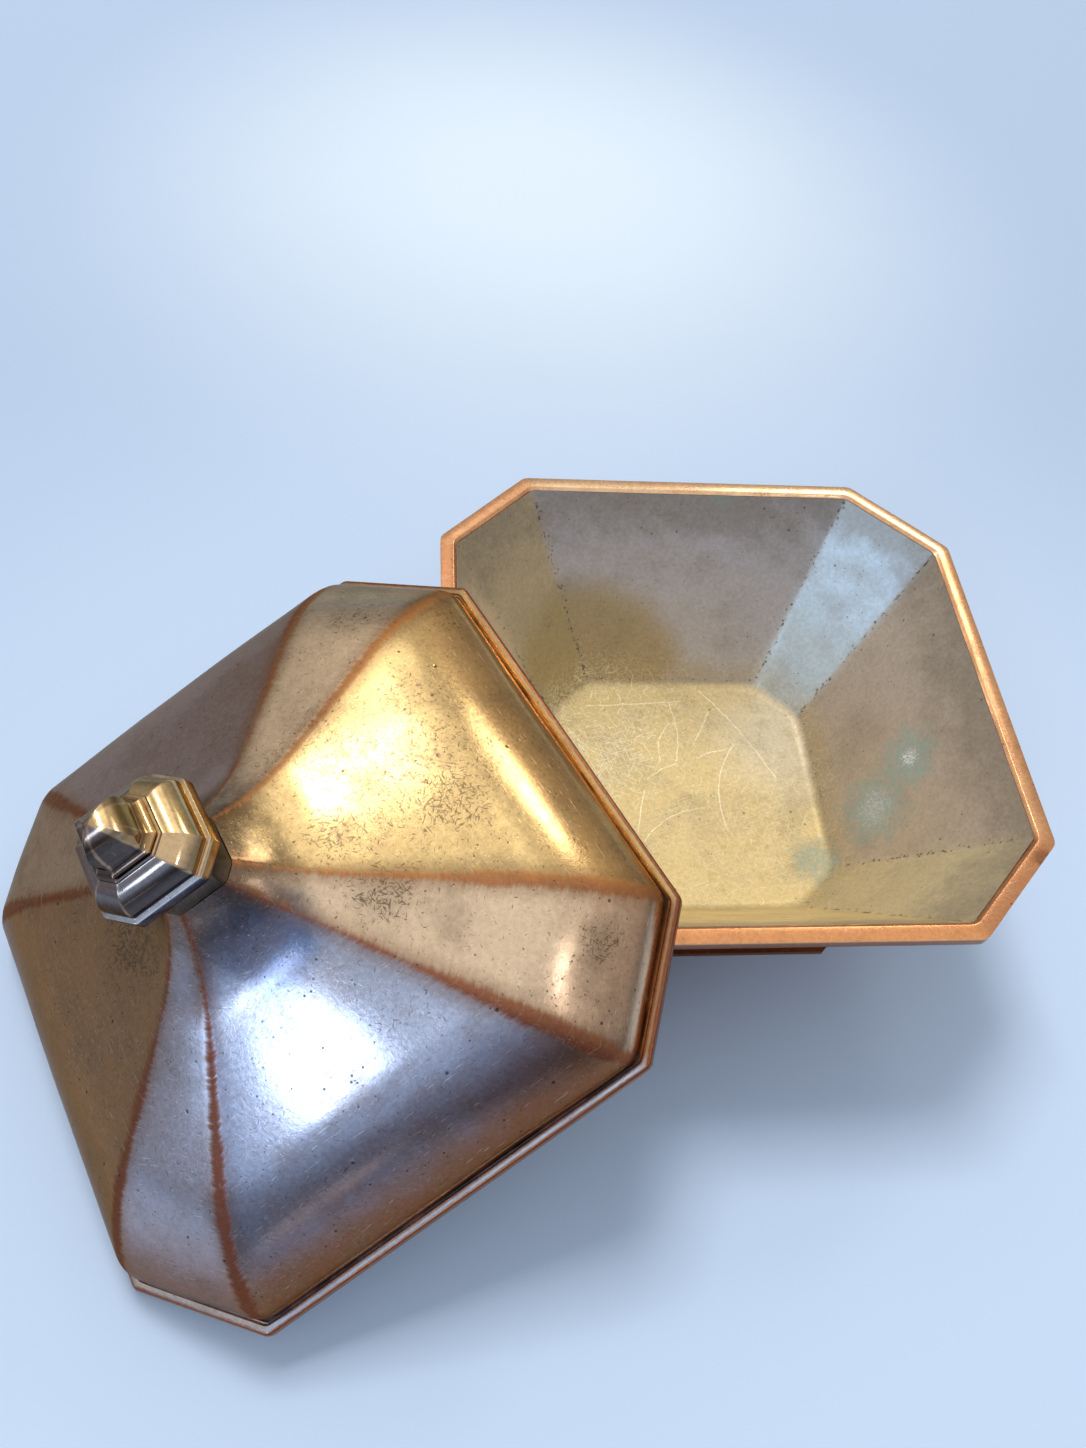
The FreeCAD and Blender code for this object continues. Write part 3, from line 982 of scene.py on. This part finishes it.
colour = mix_colours(given["Wear"], given["Metal"], given["Worn"])
colour = mix_colours(stains, colour, given["Stain"])
shade = step_between(grain, 0.25, 0.75, 0.88, 1.08)
grey = add_node("CombineColor", {0: shade, 1: shade, 2: shade}).outputs[0]
colour = mix_colours(1.0, colour, grey, "MULTIPLY")
colour = mix_colours(times(hairs, 0.26), colour, hair_tint)
colour = mix_colours(pits, colour, pit_tint)
dull = given["Gloss"]
for effect, weight in ((stains, 0.16), (given["Wear"], 0.08), (grain, 0.06), (hairs, 0.08)):
    dull = times_plus(effect, weight, dull)
height = times_plus(pits, -1.0, times(grain, 0.35))
put_out(color=colour, roughness=dull, height=times_plus(hairs, -0.15, height))

# %% [markdown]
# ## Finishes
# A finish ends in one Principled BSDF. The helpers below start a material, give the point on the
# piece in the piece's own directions, and join colour, roughness and height to the shader. Tints
# round an eight-sided form come from a Color Ramp on the turn, with a narrow step at each ridge.

# %% Finish helpers
bump_depth = 0.00012
ridge_step = 0.003
lid_degrees = [math.degrees(angle) for angle in lid_rotation]


def start_finish(name, location=(0, 0, 0), degrees=(0, 0, 0), plan_ratio=None):
    """Starts a material. From now on the helpers work in its tree, from its piece's own middle.

    The plan ratio is the corner cut's share of the half width, for a form with eight sides.
    """
    global tree, here, sides, ratio
    material = bpy.data.materials.new(name)
    material.use_nodes = True
    tree = material.node_tree
    here = local_place(add_node("TexCoord").outputs["Object"], location, degrees)
    if plan_ratio:
        ratio, sides = plan_ratio, place_group(eight_sides, ratio=plan_ratio)
    return material


def join_shader(colour, roughness, height, strength=0.5, metallic=1.0, edge_tint=(1, 1, 1, 1)):
    """Joins colour, roughness and height to the shader.

    Old tin doesn't brighten at a grazing angle as clean metal does, so it has a darker edge tint.
    """
    shader = tree.nodes["Principled BSDF"].inputs
    shader["Specular Tint"].default_value = edge_tint
    feed(shader["Base Color"], colour)
    feed(shader["Roughness"], roughness)
    feed(shader["Metallic"], metallic)
    bump = add_node("Bump", {"Height": height, "Strength": strength, "Distance": bump_depth})
    feed(shader["Normal"], bump.outputs[0])


def tints_round(tints):
    """Tints or shares of the eight sides, from -X round by way of -Y, +X and +Y."""
    tints = [tint if isinstance(tint, tuple) else (tint, tint, tint) for tint in tints]
    first_ridge = math.atan(1 - ratio) / (2 * math.pi)
    ridge_turns = [(quarter + sign * first_ridge) % 1
                   for quarter in (0, 0.25, 0.5, 0.75, 1) for sign in (-1, 1)][1:-1]
    stops = [(0.0, tints[0])]
    for number, place in enumerate(ridge_turns):
        stops.append((place - ridge_step, tints[number]))
        stops.append((place + ridge_step, tints[(number + 1) % 8]))
    return colour_ramp(sides["Turn"], stops)


def give(material, *pieces):
    for piece in pieces:
        piece.data.materials.clear()
        piece.data.materials.append(material)
    print("finish", material.name, "for", [piece.name for piece in pieces])


# %% [markdown]
# ## Tinned copper of the dome
# The tin is thin, and gone along the ridges and round the skirt, where red copper shows. Its tints
# by side are partly its own colour, golden or brown where heat and age have coloured it, and partly
# painted reflections: gold on the sides that face the warm lamps, blue-silver on the side that faces
# the window, dark brown on the sides that mirror the dim floor. The copper of the skirt and the ridges
# is painted brighter on the lit sides too, a painted dark ring round the knob's foot stands for its
# shade, and a painted blue reflection lies near the knob. The ridge band widens towards the shoulder.

# %% Finish of the dome
# Tints by side: partly the tin's own heat colours, partly painted reflections, gold, blue-silver or dark
# brown by the way a side faces.
side_patina_and_reflection_tints = (
    (0.41, 0.29, 0.24), (0.46, 0.29, 0.18), (0.34, 0.175, 0.085), (0.50, 0.45, 0.49),
    (0.46, 0.51, 0.66), (1.0, 0.77, 0.55), (0.94, 0.68, 0.31), (1.0, 0.78, 0.55),
)
skirt_shares = (0.85, 0.7, 0.8, 0.9, 1.0, 0.6, 0.7, 0.85)
# Copper of the skirt by side, painted brighter on the sides that face the warm lamps and darker where the
# dim floor is mirrored.
skirt_copper_and_reflection_tints = (
    (0.19, 0.12, 0.085), (0.26, 0.15, 0.085), (0.27, 0.14, 0.07), (0.31, 0.17, 0.13),
    (0.25, 0.10, 0.05), (0.62, 0.34, 0.18), (0.78, 0.42, 0.16), (0.30, 0.23, 0.13),
)
# Dark colour for the real dashes, and for the painted shade round the knob's foot.
dash_dirt_and_knob_shade = (0.08, 0.055, 0.04, 1)
# Painted reflection: dark blue for the front side near the knob.
blue_painted_reflection = (0.10, 0.16, 0.31, 1)
patch_dirt = (0.20, 0.125, 0.06, 1)
blue_reflection_place = (0.0200, 0.0040, 0.0415)
dirty_patches = (
    # place in the lid, radius, strength
    ((0.0111, 0.0489, 0.0285), 0.014, 1.0),
    ((-0.0178, 0.0509, 0.0277), 0.016, 0.6),
    ((0.0000, 0.0440, 0.0310), 0.038, 0.68),
    ((0.0060, 0.0270, 0.0385), 0.012, 0.9),
    ((0.0233, 0.0286, 0.0359), 0.013, 0.9),
    ((0.0532, 0.0579, 0.0167), 0.009, 0.8),
    ((-0.0005, -0.0230, 0.0390), 0.020, 1.0),
    ((-0.0171, 0.0244, 0.0385), 0.013, 0.5),
    ((-0.0480, 0.0500, 0.0233), 0.012, 0.6),
    ((-0.0372, 0.0696, 0.0135), 0.010, 0.6),
)

tinned_finish = start_finish("tinned_copper_finish", lid_origin, lid_degrees, lid_ratio)
tint = tints_round(side_patina_and_reflection_tints)
brown = mask_of(ragged_band, measure=minus(lid_half, sides["Half"]), width=0.0045, ragged=0.010,
                soft=0.016, scale=45.0)
tint = mix_colours(times(brown, tints_round(skirt_shares)), tint, tints_round(skirt_copper_and_reflection_tints))
# Painted reflection: a dark blue patch on the front side near the knob.
blue_reflection = mask_of(ragged_spot, centre=blue_reflection_place, radius=0.0150, ragged=0.7, scale=110.0, soft=0.6)
tint = mix_colours(times(blue_reflection, 0.85), tint, blue_painted_reflection)
# Painted shade: the dome is darkened in a ring round and under the knob's foot.
knob_foot_shade = mask_of(ragged_band, measure=sides["Half"], width=0.0080, ragged=0.020, soft=0.016, scale=120.0)
tint = mix_colours(times(knob_foot_shade, 0.85), tint, dash_dirt_and_knob_shade)
patches = 0.12
for place, radius, strength in dirty_patches:
    spot = mask_of(ragged_spot, centre=place, radius=radius, ragged=1.0, scale=160.0, soft=0.9)
    patches = most(patches, times(spot, strength))
tint = mix_colours(times(patches, 0.40), tint, patch_dirt)
tint = mix_colours(times(mask_of(dark_dashes, patch=patches), 0.70), tint, dash_dirt_and_knob_shade)
print("dome has", len(dirty_patches), "dirty patches")

# %% Worn ridges of the dome
# Copper of the worn ridges by side, painted brighter on the sides that face the warm lamps.
ridge_copper_and_reflection_tints = (
    (0.26, 0.10, 0.05), (0.26, 0.10, 0.05), (0.23, 0.078, 0.036), (0.22, 0.062, 0.03),
    (0.25, 0.065, 0.03), (0.44, 0.17, 0.07), (0.62, 0.27, 0.09), (0.40, 0.18, 0.07),
)
side_gloss = (0.26, 0.26, 0.24, 0.17, 0.14, 0.14, 0.14, 0.18)
ridge_brown = (0.30, 0.145, 0.07, 1)
dome_edge = (0.62, 0.52, 0.44, 1)
feather_size = (0.0007, 0.035, 0.02)

feathers = local_place(sides["Round"], scale=feather_size)
drift = times_plus(noise(55.0, 2.0), 0.0028, -0.0014)
band = step_between(sides["Half"], 0.012, 0.066, -0.0005, 0.0010)
ridges = mask_of(ragged_band, feathers, measure=sides["Gap"], width=calc("ADD", band, drift),
                 ragged=0.0036, soft=0.0018, scale=1.0)
beside = mask_of(ragged_band, feathers, measure=sides["Gap"], width=band, ragged=0.0040, soft=0.0052,
                 scale=1.0)
tint = mix_colours(times(beside, 0.5), tint, ridge_brown)
skirt = mask_of(ragged_band, measure=sides["Height"], width=0.0036, ragged=0.005, soft=0.004)
surface = place_group(
    aged_metal, metal=tint, worn=tints_round(ridge_copper_and_reflection_tints), wear=most(times(ridges, 0.92), times(skirt, 0.6)),
    stain=(0.20, 0.13, 0.08, 1), stains=0.4, stain_scale=62.0, pits=0.75, scratches=0.45,
    lines=mask_of(polish_lines, sides["Round"], density=0.42), gloss=tints_round(side_gloss))
roughness = times_plus(ridges, 0.20, times_plus(patches, 0.10, surface["Roughness"]))
join_shader(surface["Color"], roughness, surface["Height"], 0.4, edge_tint=dome_edge)
give(tinned_finish, dome, nodes["lid_collar"])

# %% [markdown]
# ## Tin of the lip
# The top of the lip is the brightest line of the lid, partly because everything rubs on it and partly
# from painted reflections in its tints by side: blue-white at the front, gold at the back. Its outer
# edge has lost its tin, and old polish has dried dark and greenish in the groove.

# %% Finish of the flange
# Tin of the lip by side, with painted reflections: blue-white at the front, gold at the back.
lip_tin_and_reflection_tints = (
    (0.50, 0.33, 0.21), (0.52, 0.37, 0.26), (0.58, 0.46, 0.38), (0.66, 0.63, 0.66),
    (0.66, 0.78, 1.0), (0.50, 0.28, 0.16), (0.88, 0.60, 0.27), (0.56, 0.36, 0.18),
)
groove_dirt = (0.045, 0.048, 0.035, 1)
groove_half = lid_half - lip_width - 0.0004

lip_finish = start_finish("tinned_lip_finish", lid_origin, lid_degrees, lid_ratio)
edge = mask_of(ragged_band, measure=minus(lid_half, sides["Half"]), width=0.0006, ragged=0.0006,
               soft=0.0004)
surface = place_group(
    aged_metal, metal=tints_round(lip_tin_and_reflection_tints), worn=(0.30, 0.11, 0.055, 1), wear=edge,
    stain=(0.26, 0.15, 0.09, 1), stains=0.35, stain_scale=110.0, pits=0.6, scratches=0.4, gloss=0.17)
groove = mask_of(ragged_band, measure=sides["Half"], width=groove_half, ragged=0.0005, soft=0.0003)
clean_stretches = step_between(noise(90.0), 0.42, 0.62, 0.85, 0.35)
groove = times(groove, clean_stretches)
dirty = mix_colours(groove, surface["Color"], groove_dirt)
join_shader(dirty, times_plus(groove, 0.4, surface["Roughness"]), surface["Height"], 0.35)
give(lip_finish, flange)

# %% [markdown]
# ## The knob's polish
# Fingers have kept the knob bright. Its tin is smoother than the dome's, and fine lines of pale copper
# along its ridges are partly a painted highlight. Its tints by side are painted reflections: gold where
# the warm lamps are mirrored, dark on the front sides. The cap and the flank have painted dark zones,
# as small round faces have that mirror a dim room. A painted silver highlight runs along the ledge on
# the dark sides, and the neck under the body is painted in shade.

# %% Finish of the knob
# Painted reflections: the knob's tints by side, gold where the warm lamps are mirrored and dark on the front
# sides.
knob_tints_and_painted_reflections = (
    (0.40, 0.32, 0.25), (0.28, 0.22, 0.18), (0.23, 0.17, 0.15), (0.24, 0.20, 0.20),
    (0.27, 0.26, 0.28), (0.80, 0.58, 0.34), (0.80, 0.58, 0.29), (0.58, 0.43, 0.25),
)
knob_shades = (
    (0.30, 0.22, 0.16), (0.16, 0.11, 0.08), (0.08, 0.055, 0.045), (0.07, 0.05, 0.042),
    (0.065, 0.045, 0.038), (0.32, 0.18, 0.07), (0.30, 0.17, 0.05), (0.28, 0.17, 0.07),
)
shade_shares = (0.3, 0.7, 1.0, 1.0, 1.0, 0.0, 0.0, 0.3)
shaded_zones = (
    # height of the middle, half of the width, softness, and whether only the dark sides have it
    (cap_base + 0.0028, 0.0022, 0.0012, False),
    (band_top + 0.0011, 0.0006, 0.0006, False),
    (cap_base + 0.0036, 0.0032, 0.0020, True),
    (band_top + 0.0023, 0.0015, 0.0014, True),
)
# Painted highlight colour for the knob's ledge.
ledge_painted_highlight = (0.60, 0.66, 0.78, 1)
knob_edge = (0.50, 0.40, 0.33, 1)
# Painted shade colour for the neck under the knob's body.
neck_painted_shade = (0.070, 0.045, 0.030, 1)
neck_end = neck_top + 0.0002

knob_finish = start_finish("tinned_knob_finish", lid_origin, lid_degrees, knob_cut / knob_half)
height = sides["Height"]
dark_sides = tints_round(shade_shares)
shaded = 0.0
for middle_height, reach, soft, only_dark in shaded_zones:
    zone = step_between(apart(height, middle_height), reach + soft, reach)
    shaded = most(shaded, times(zone, dark_sides) if only_dark else zone)
tint = mix_colours(times(shaded, 0.85), tints_round(knob_tints_and_painted_reflections), tints_round(knob_shades))
# Painted highlight: a bright silver line along the ledge on the dark sides.
ledge_highlight = step_between(apart(height, band_top), 0.0005, 0.0003)
tint = mix_colours(times(ledge_highlight, dark_sides), tint, ledge_painted_highlight)
# Painted shade: the neck under the knob's body is made nearly black.
below = step_between(height, neck_end, neck_top)
tint = mix_colours(times(below, 0.92), tint, neck_painted_shade)
ridges = mask_of(ragged_band, measure=sides["Gap"], width=0.0, ragged=0.0008, soft=0.00045, scale=420.0)
ridges = times(ridges, step_between(height, neck_top, neck_end))
# The pale copper-gold of the knob's worn ridges is partly real wear, partly a painted highlight.
surface = place_group(
    aged_metal, metal=tint, worn=(0.84, 0.56, 0.36, 1), wear=times(ridges, 0.35),
    stain=(0.22, 0.15, 0.11, 1), stains=0.45, stain_scale=130.0, pits=0.5, scratches=0.3, gloss=0.11)
join_shader(surface["Color"], surface["Roughness"], surface["Height"], 0.25, edge_tint=knob_edge)
give(knob_finish, neck, body, cap)

# %% [markdown]
# ## Tarnished tin inside the bowl
# Inside, nobody polishes. The walls have gone grey and beige, each a little different, with an olive
# cast towards the floor and the left. Their tints by side also hold painted light, and the back right
# corner side carries a painted blue-white reflection. The floor is yellower and covered with knife
# scratches. Dark broken lines follow the creases, and damp has left green spots on the right wall.

# %% Finish of the inside
# Tints of the walls by side, partly tarnish and partly painted light, with a painted blue-white reflection
# on the back right corner side.
wall_tarnish_and_reflection_tints = (
    (0.78, 0.62, 0.40), (0.70, 0.57, 0.34), (0.80, 0.61, 0.28), (0.68, 0.56, 0.33),
    (0.60, 0.51, 0.42), (0.68, 0.85, 1.0), (0.58, 0.57, 0.61), (0.60, 0.49, 0.31),
)
floor_tint = (0.72, 0.56, 0.27, 1)
floor_beige = (0.74, 0.63, 0.44, 1)
olive_tint = (0.46, 0.35, 0.15, 1)
smudge_tint = (0.27, 0.23, 0.18, 1)
olive_place = (-0.028, 0.046, 0.0)
beige_place = (0.036, 0.020, 0)

inside_finish = start_finish(
    "tarnished_tin_finish", (bowl_middle.x, bowl_middle.y, floor_height), plan_ratio=inner_cut / inner_half)
height = sides["Height"]
low_olive = mask_of(ragged_band, measure=height, width=0.001, ragged=0.030, soft=0.012, scale=24.0)
left_olive = mask_of(ragged_spot, centre=olive_place, radius=0.037, ragged=0.30, scale=60.0, soft=0.35)
olive = most(times(low_olive, 0.5), times(left_olive, 0.75))
tint = mix_colours(olive, tints_round(wall_tarnish_and_reflection_tints), olive_tint)
smudges = mask_of(ragged_band, measure=minus(rim_top - floor_height, height), width=0.0, ragged=0.055,
                  soft=0.020, scale=42.0)
tint = mix_colours(times(smudges, 0.6), tint, smudge_tint)
floor_mask = mask_of(ragged_band, measure=height, width=0.0005, ragged=0.0008, soft=0.0014)
beige = mask_of(ragged_spot, centre=beige_place, radius=0.034, ragged=0.5, scale=70.0, soft=0.8)
floor_colour = mix_colours(beige, floor_tint, floor_beige)
floor_clouds = step_between(noise(130.0, 6.0, 0.7), 0.50, 0.66, 0.0, 0.4)
floor_colour = mix_colours(floor_clouds, floor_colour, olive_tint)
tint = mix_colours(floor_mask, tint, floor_colour)
print("walls and floor tinted")

# %% Scratches of the inside
scratch_tint = (1.0, 0.90, 0.62, 1)
busy_place = (-0.030, 0.026, 0)
deep_scratches = (
    # centre x and y, radius, middle angle and half of the sweep in degrees
    (-0.0370, 0.3830, 0.3514, -86, 2.6),
    (-0.0990, -0.0472, 0.1377, 30, 8.5),
    (-0.0398, 0.0221, 0.0397, -1, 17),
    (0.0092, 0.0135, 0.0161, 162, 29),
    (0.0448, -0.0052, 0.0351, 168, 28),
    (0.0059, -0.0309, 0.0246, 120, 29),
    (0.1078, -0.0365, 0.1261, 166.5, 3.6),
    (0.0062, -0.0161, 0.0270, 119, 13),
    (0.0302, -0.0472, 0.0643, 108.5, 5.6),
    (-0.0577, 0.0591, 0.0749, -28, 5),
)
light_scratches = (
    # scale, radius and width
    (21.0, 0.55, 0.0045), (38.0, 0.5, 0.0075), (47.0, 0.6, 0.0085),
    (75.0, 0.5, 0.014), (90.0, 0.6, 0.017), (140.0, 0.5, 0.026),
)

scratched = 0.0
for x, y, radius, middle_angle, sweep in deep_scratches:
    scratched = most(scratched, mask_of(
        arc_scratch, centre=(x, y, 0), radius=radius, middle=math.radians(middle_angle),
        spread=math.cos(math.radians(sweep))))
busy = mask_of(ragged_spot, centre=busy_place, radius=0.042, ragged=0.5, scale=90.0, soft=0.7)
busy = step_between(busy, 0, 1, 0.35, 0.9)
marks = [mask_of(curved_scratches, local_place(here, (scale / 1000, 0.013, 0)), scale=scale,
                 radius=radius, width=width, share=0.85) for scale, radius, width in light_scratches]
marks.append(mask_of(hair_scratches, density=0.9, patches=45.0))
marks.append(mask_of(small_pits, scale=420.0, size=0.2, share=0.3))
for mark in marks:
    scratched = most(scratched, times(mark, busy))
scratched = times(scratched, step_between(height, 0.014, 0.001, 0.12, 1.0))
surface = place_group(
    aged_metal, metal=tint, worn=scratch_tint, wear=scratched, stain=(0.27, 0.22, 0.15, 1),
    stains=0.33, stain_scale=44.0, pits=0.6, scratches=0.35, gloss=0.40)
print("the floor has", len(deep_scratches), "deep scratches")

# %% Creases and verdigris of the inside
crease_dirt = (0.07, 0.055, 0.045, 1)
mould_tints = ((0.17, 0.30, 0.27, 1), (0.36, 0.48, 0.44, 1))
crust_tint = (0.74, 0.77, 0.80, 1)
edge_height = 0.0022
spots = (
    # place from the middle of the floor, radius and strength of the green, and of the white crust
    ((0.0569, -0.0085, 0.0307), (0.0125, 0.8), (0.0036, 1.0)),
    ((0.0495, -0.0170, 0.0175), (0.0150, 0.8), (0.0080, 0.5)),
    ((0.0560, -0.0130, 0.0250), (0.0080, 0.6), (0.0001, 0.0)),
    ((0.0509, -0.0430, 0.0201), (0.0055, 0.6), (0.0001, 0.0)),
    ((0.0353, -0.0249, 0.0005), (0.0095, 0.6), (0.0001, 0.0)),
    ((0.0100, 0.0700, 0.0540), (0.0040, 0.6), (0.0001, 0.0)),
)

dashes = mask_of(ragged_band, measure=sides["Gap"], width=-0.0006, ragged=0.0065, soft=0.0006, scale=480.0)
grime = mask_of(small_pits, scale=800.0, size=0.5, share=0.5)
grime = most(dashes, times(grime, step_between(sides["Gap"], 0.0022, 0.0002)))
floor_edge = mask_of(ragged_band, measure=apart(height, edge_height), width=-0.0009, ragged=0.0065,
                     soft=0.0006, scale=500.0)
grime = most(times(grime, step_between(height, 0.001, 0.004)), floor_edge)
colour = mix_colours(times(grime, 0.8), surface["Color"], crease_dirt)
green, crust = 0.0, 0.0
for place, (green_radius, green_strength), (crust_radius, crust_strength) in spots:
    spot = mask_of(ragged_spot, centre=place, radius=green_radius, ragged=1.5, scale=240.0, soft=0.65)
    green = most(green, times(spot, green_strength))
    spot = mask_of(ragged_spot, centre=place, radius=crust_radius, ragged=2.0, scale=950.0, soft=0.8)
    crust = most(crust, times(spot, crust_strength))
green = times(green, step_between(noise(650.0, 5.0, 0.75), 0.38, 0.60, 0.5, 1.0))
colour = mix_colours(green, colour, mix_colours(noise(700.0), *mould_tints))
crust = times(crust, step_between(noise(2000.0, 4.0, 0.75), 0.42, 0.56, 0.1, 1.0))
colour = mix_colours(crust, colour, crust_tint)
dusty = most(times(green, 0.7), crust)
join_shader(colour, times_plus(dusty, 0.35, surface["Roughness"]), times_plus(crust, 2.0, surface["Height"]),
            0.5, metallic=step_between(dusty, 0, 1, 0.5, 0.0))
give(inside_finish, bowl)

# %% [markdown]
# ## Bare copper of the rim and the foot
# The rim is handled most, and shines orange; its tints by side are partly painted reflections, yellower
# at the back. Its outer face and the foot are painted darker, as shade under the rim. Nicks and pits
# are larger here, and one corner has a burnt mark.

# %% Finish of the copper
# Copper tints by side, partly painted reflections: yellower and brighter at the back, browner at the left
# and front right.
copper_tints_and_reflections = (
    (0.66, 0.31, 0.15), (0.82, 0.38, 0.18), (1.0, 0.46, 0.20), (0.78, 0.37, 0.18),
    (0.88, 0.48, 0.25), (0.95, 0.58, 0.34), (1.0, 0.68, 0.42), (0.86, 0.46, 0.24),
)
burnt_place = (0.0699, -0.0541, 0)

copper_finish = start_finish(
    "bare_copper_finish", (bowl_middle.x, bowl_middle.y, rim_top), plan_ratio=mouth_cut / mouth_half)
depth = times(sides["Height"], -1)
below_edge = step_between(depth, 0.0002, 0.0011)
outside = step_between(sides["Half"], mouth_half - 0.0012, mouth_half - 0.0004)
below_rim = step_between(depth, rim_height + 0.001, rim_height + 0.003)
# Painted shade: the rim's outer face and everything below the rim are darkened.
under_rim_shade = most(times(below_edge, outside), below_rim)
burnt = mask_of(ragged_spot, centre=burnt_place, radius=0.004, ragged=1.2, soft=0.7)
surface = place_group(
    aged_metal, metal=tints_round(copper_tints_and_reflections), worn=(0.22, 0.08, 0.035, 1),
    wear=most(times(under_rim_shade, 0.85), times(burnt, 0.6)), stain=(0.42, 0.19, 0.10, 1), stains=0.4,
    stain_scale=130.0, pits=0.55, scratches=0.5, gloss=0.20)
join_shader(surface["Color"], surface["Roughness"], surface["Height"], 0.35)
give(copper_finish, rim, nodes["foot_ring"])

# %% [markdown]
# The bowl's sheet is tinned on the inside only, so its outer faces have the bare copper too. A face is
# an outer one where its normal points away from the bowl's axis and down.

# %% Copper on the bowl's outside
down_share = 0.6

bowl.data.materials.append(copper_finish)
for face in bowl.data.polygons:
    away = face.center - bowl_middle
    away.z = 0
    away.z = -down_share * away.length
    face.material_index = int(face.normal.dot(away) > 0)
print("copper faces of the bowl:", sum(face.material_index for face in bowl.data.polygons))

# %% [markdown]
# ## Brass of the fasteners
# The stud, washer and nut hold the knob together and are seen only inside the lid. They are plain
# turned brass, dull, with the fine rings that a lathe leaves.

# %% Finish of the fasteners
ring_pitch = 42000

brass_finish = start_finish("turned_brass_finish", lid_origin, lid_degrees)
ring_radius = length_of(joined(*parts_of(here)[:2]))
rings = calc("SINE", times(ring_radius, ring_pitch))
surface = place_group(
    aged_metal, metal=(0.62, 0.45, 0.19, 1), worn=(0.30, 0.20, 0.10, 1),
    wear=step_between(rings, 0, 1, 0, 0.25), stain=(0.22, 0.15, 0.08, 1), stains=0.6,
    stain_scale=300.0, pits=0.4, scratches=0.3, gloss=0.34)
join_shader(surface["Color"], surface["Roughness"], surface["Height"])
give(brass_finish, nodes["knob_stud"], nodes["knob_washer"], nodes["knob_nut"])

# %% [markdown]
# ## The floor
# The box stands on plain pale blue paper with a faint tooth. Its colour has a painted pool of light
# behind the box and painted dimming far from it.

# %% Floor
floor_size = 24.0
floor_light_pool = (0.62, 0.735, 0.865, 1)
floor_deep = (0.52, 0.662, 0.883, 1)
floor_far_dimmed = (0.395, 0.515, 0.71, 1)
light_pool_place = (0.035, 0.385, 0)
light_pool_reach = 0.27
near_place = (0.05, -0.10, 0)
near_reach = (0.15, 0.42)
paper_roughness = 0.8

bpy.ops.object.select_all(action="DESELECT")
bpy.ops.mesh.primitive_plane_add(size=floor_size)
floor = bpy.context.object
floor.name = "studio_floor"
floor_finish = start_finish("pale_paper_finish")
# Painted light: a pool of light behind the box, and the paper dimmed far from it.
light_pool = mask_of(ragged_spot, centre=light_pool_place, radius=light_pool_reach, ragged=0.15, scale=3.0, soft=0.9)
reach = add_node("VectorMath", {0: here, 1: near_place}, operation="DISTANCE").outputs["Value"]
paper = mix_colours(step_between(reach, *near_reach), floor_deep, floor_far_dimmed)
paper = mix_colours(light_pool, paper, floor_light_pool)
join_shader(paper, paper_roughness, noise(1800.0, 4.0, 0.7), 0.25, metallic=0.0)
give(floor_finish, floor)

# %% Finish
bpy.context.scene.view_settings.view_transform = "Standard"
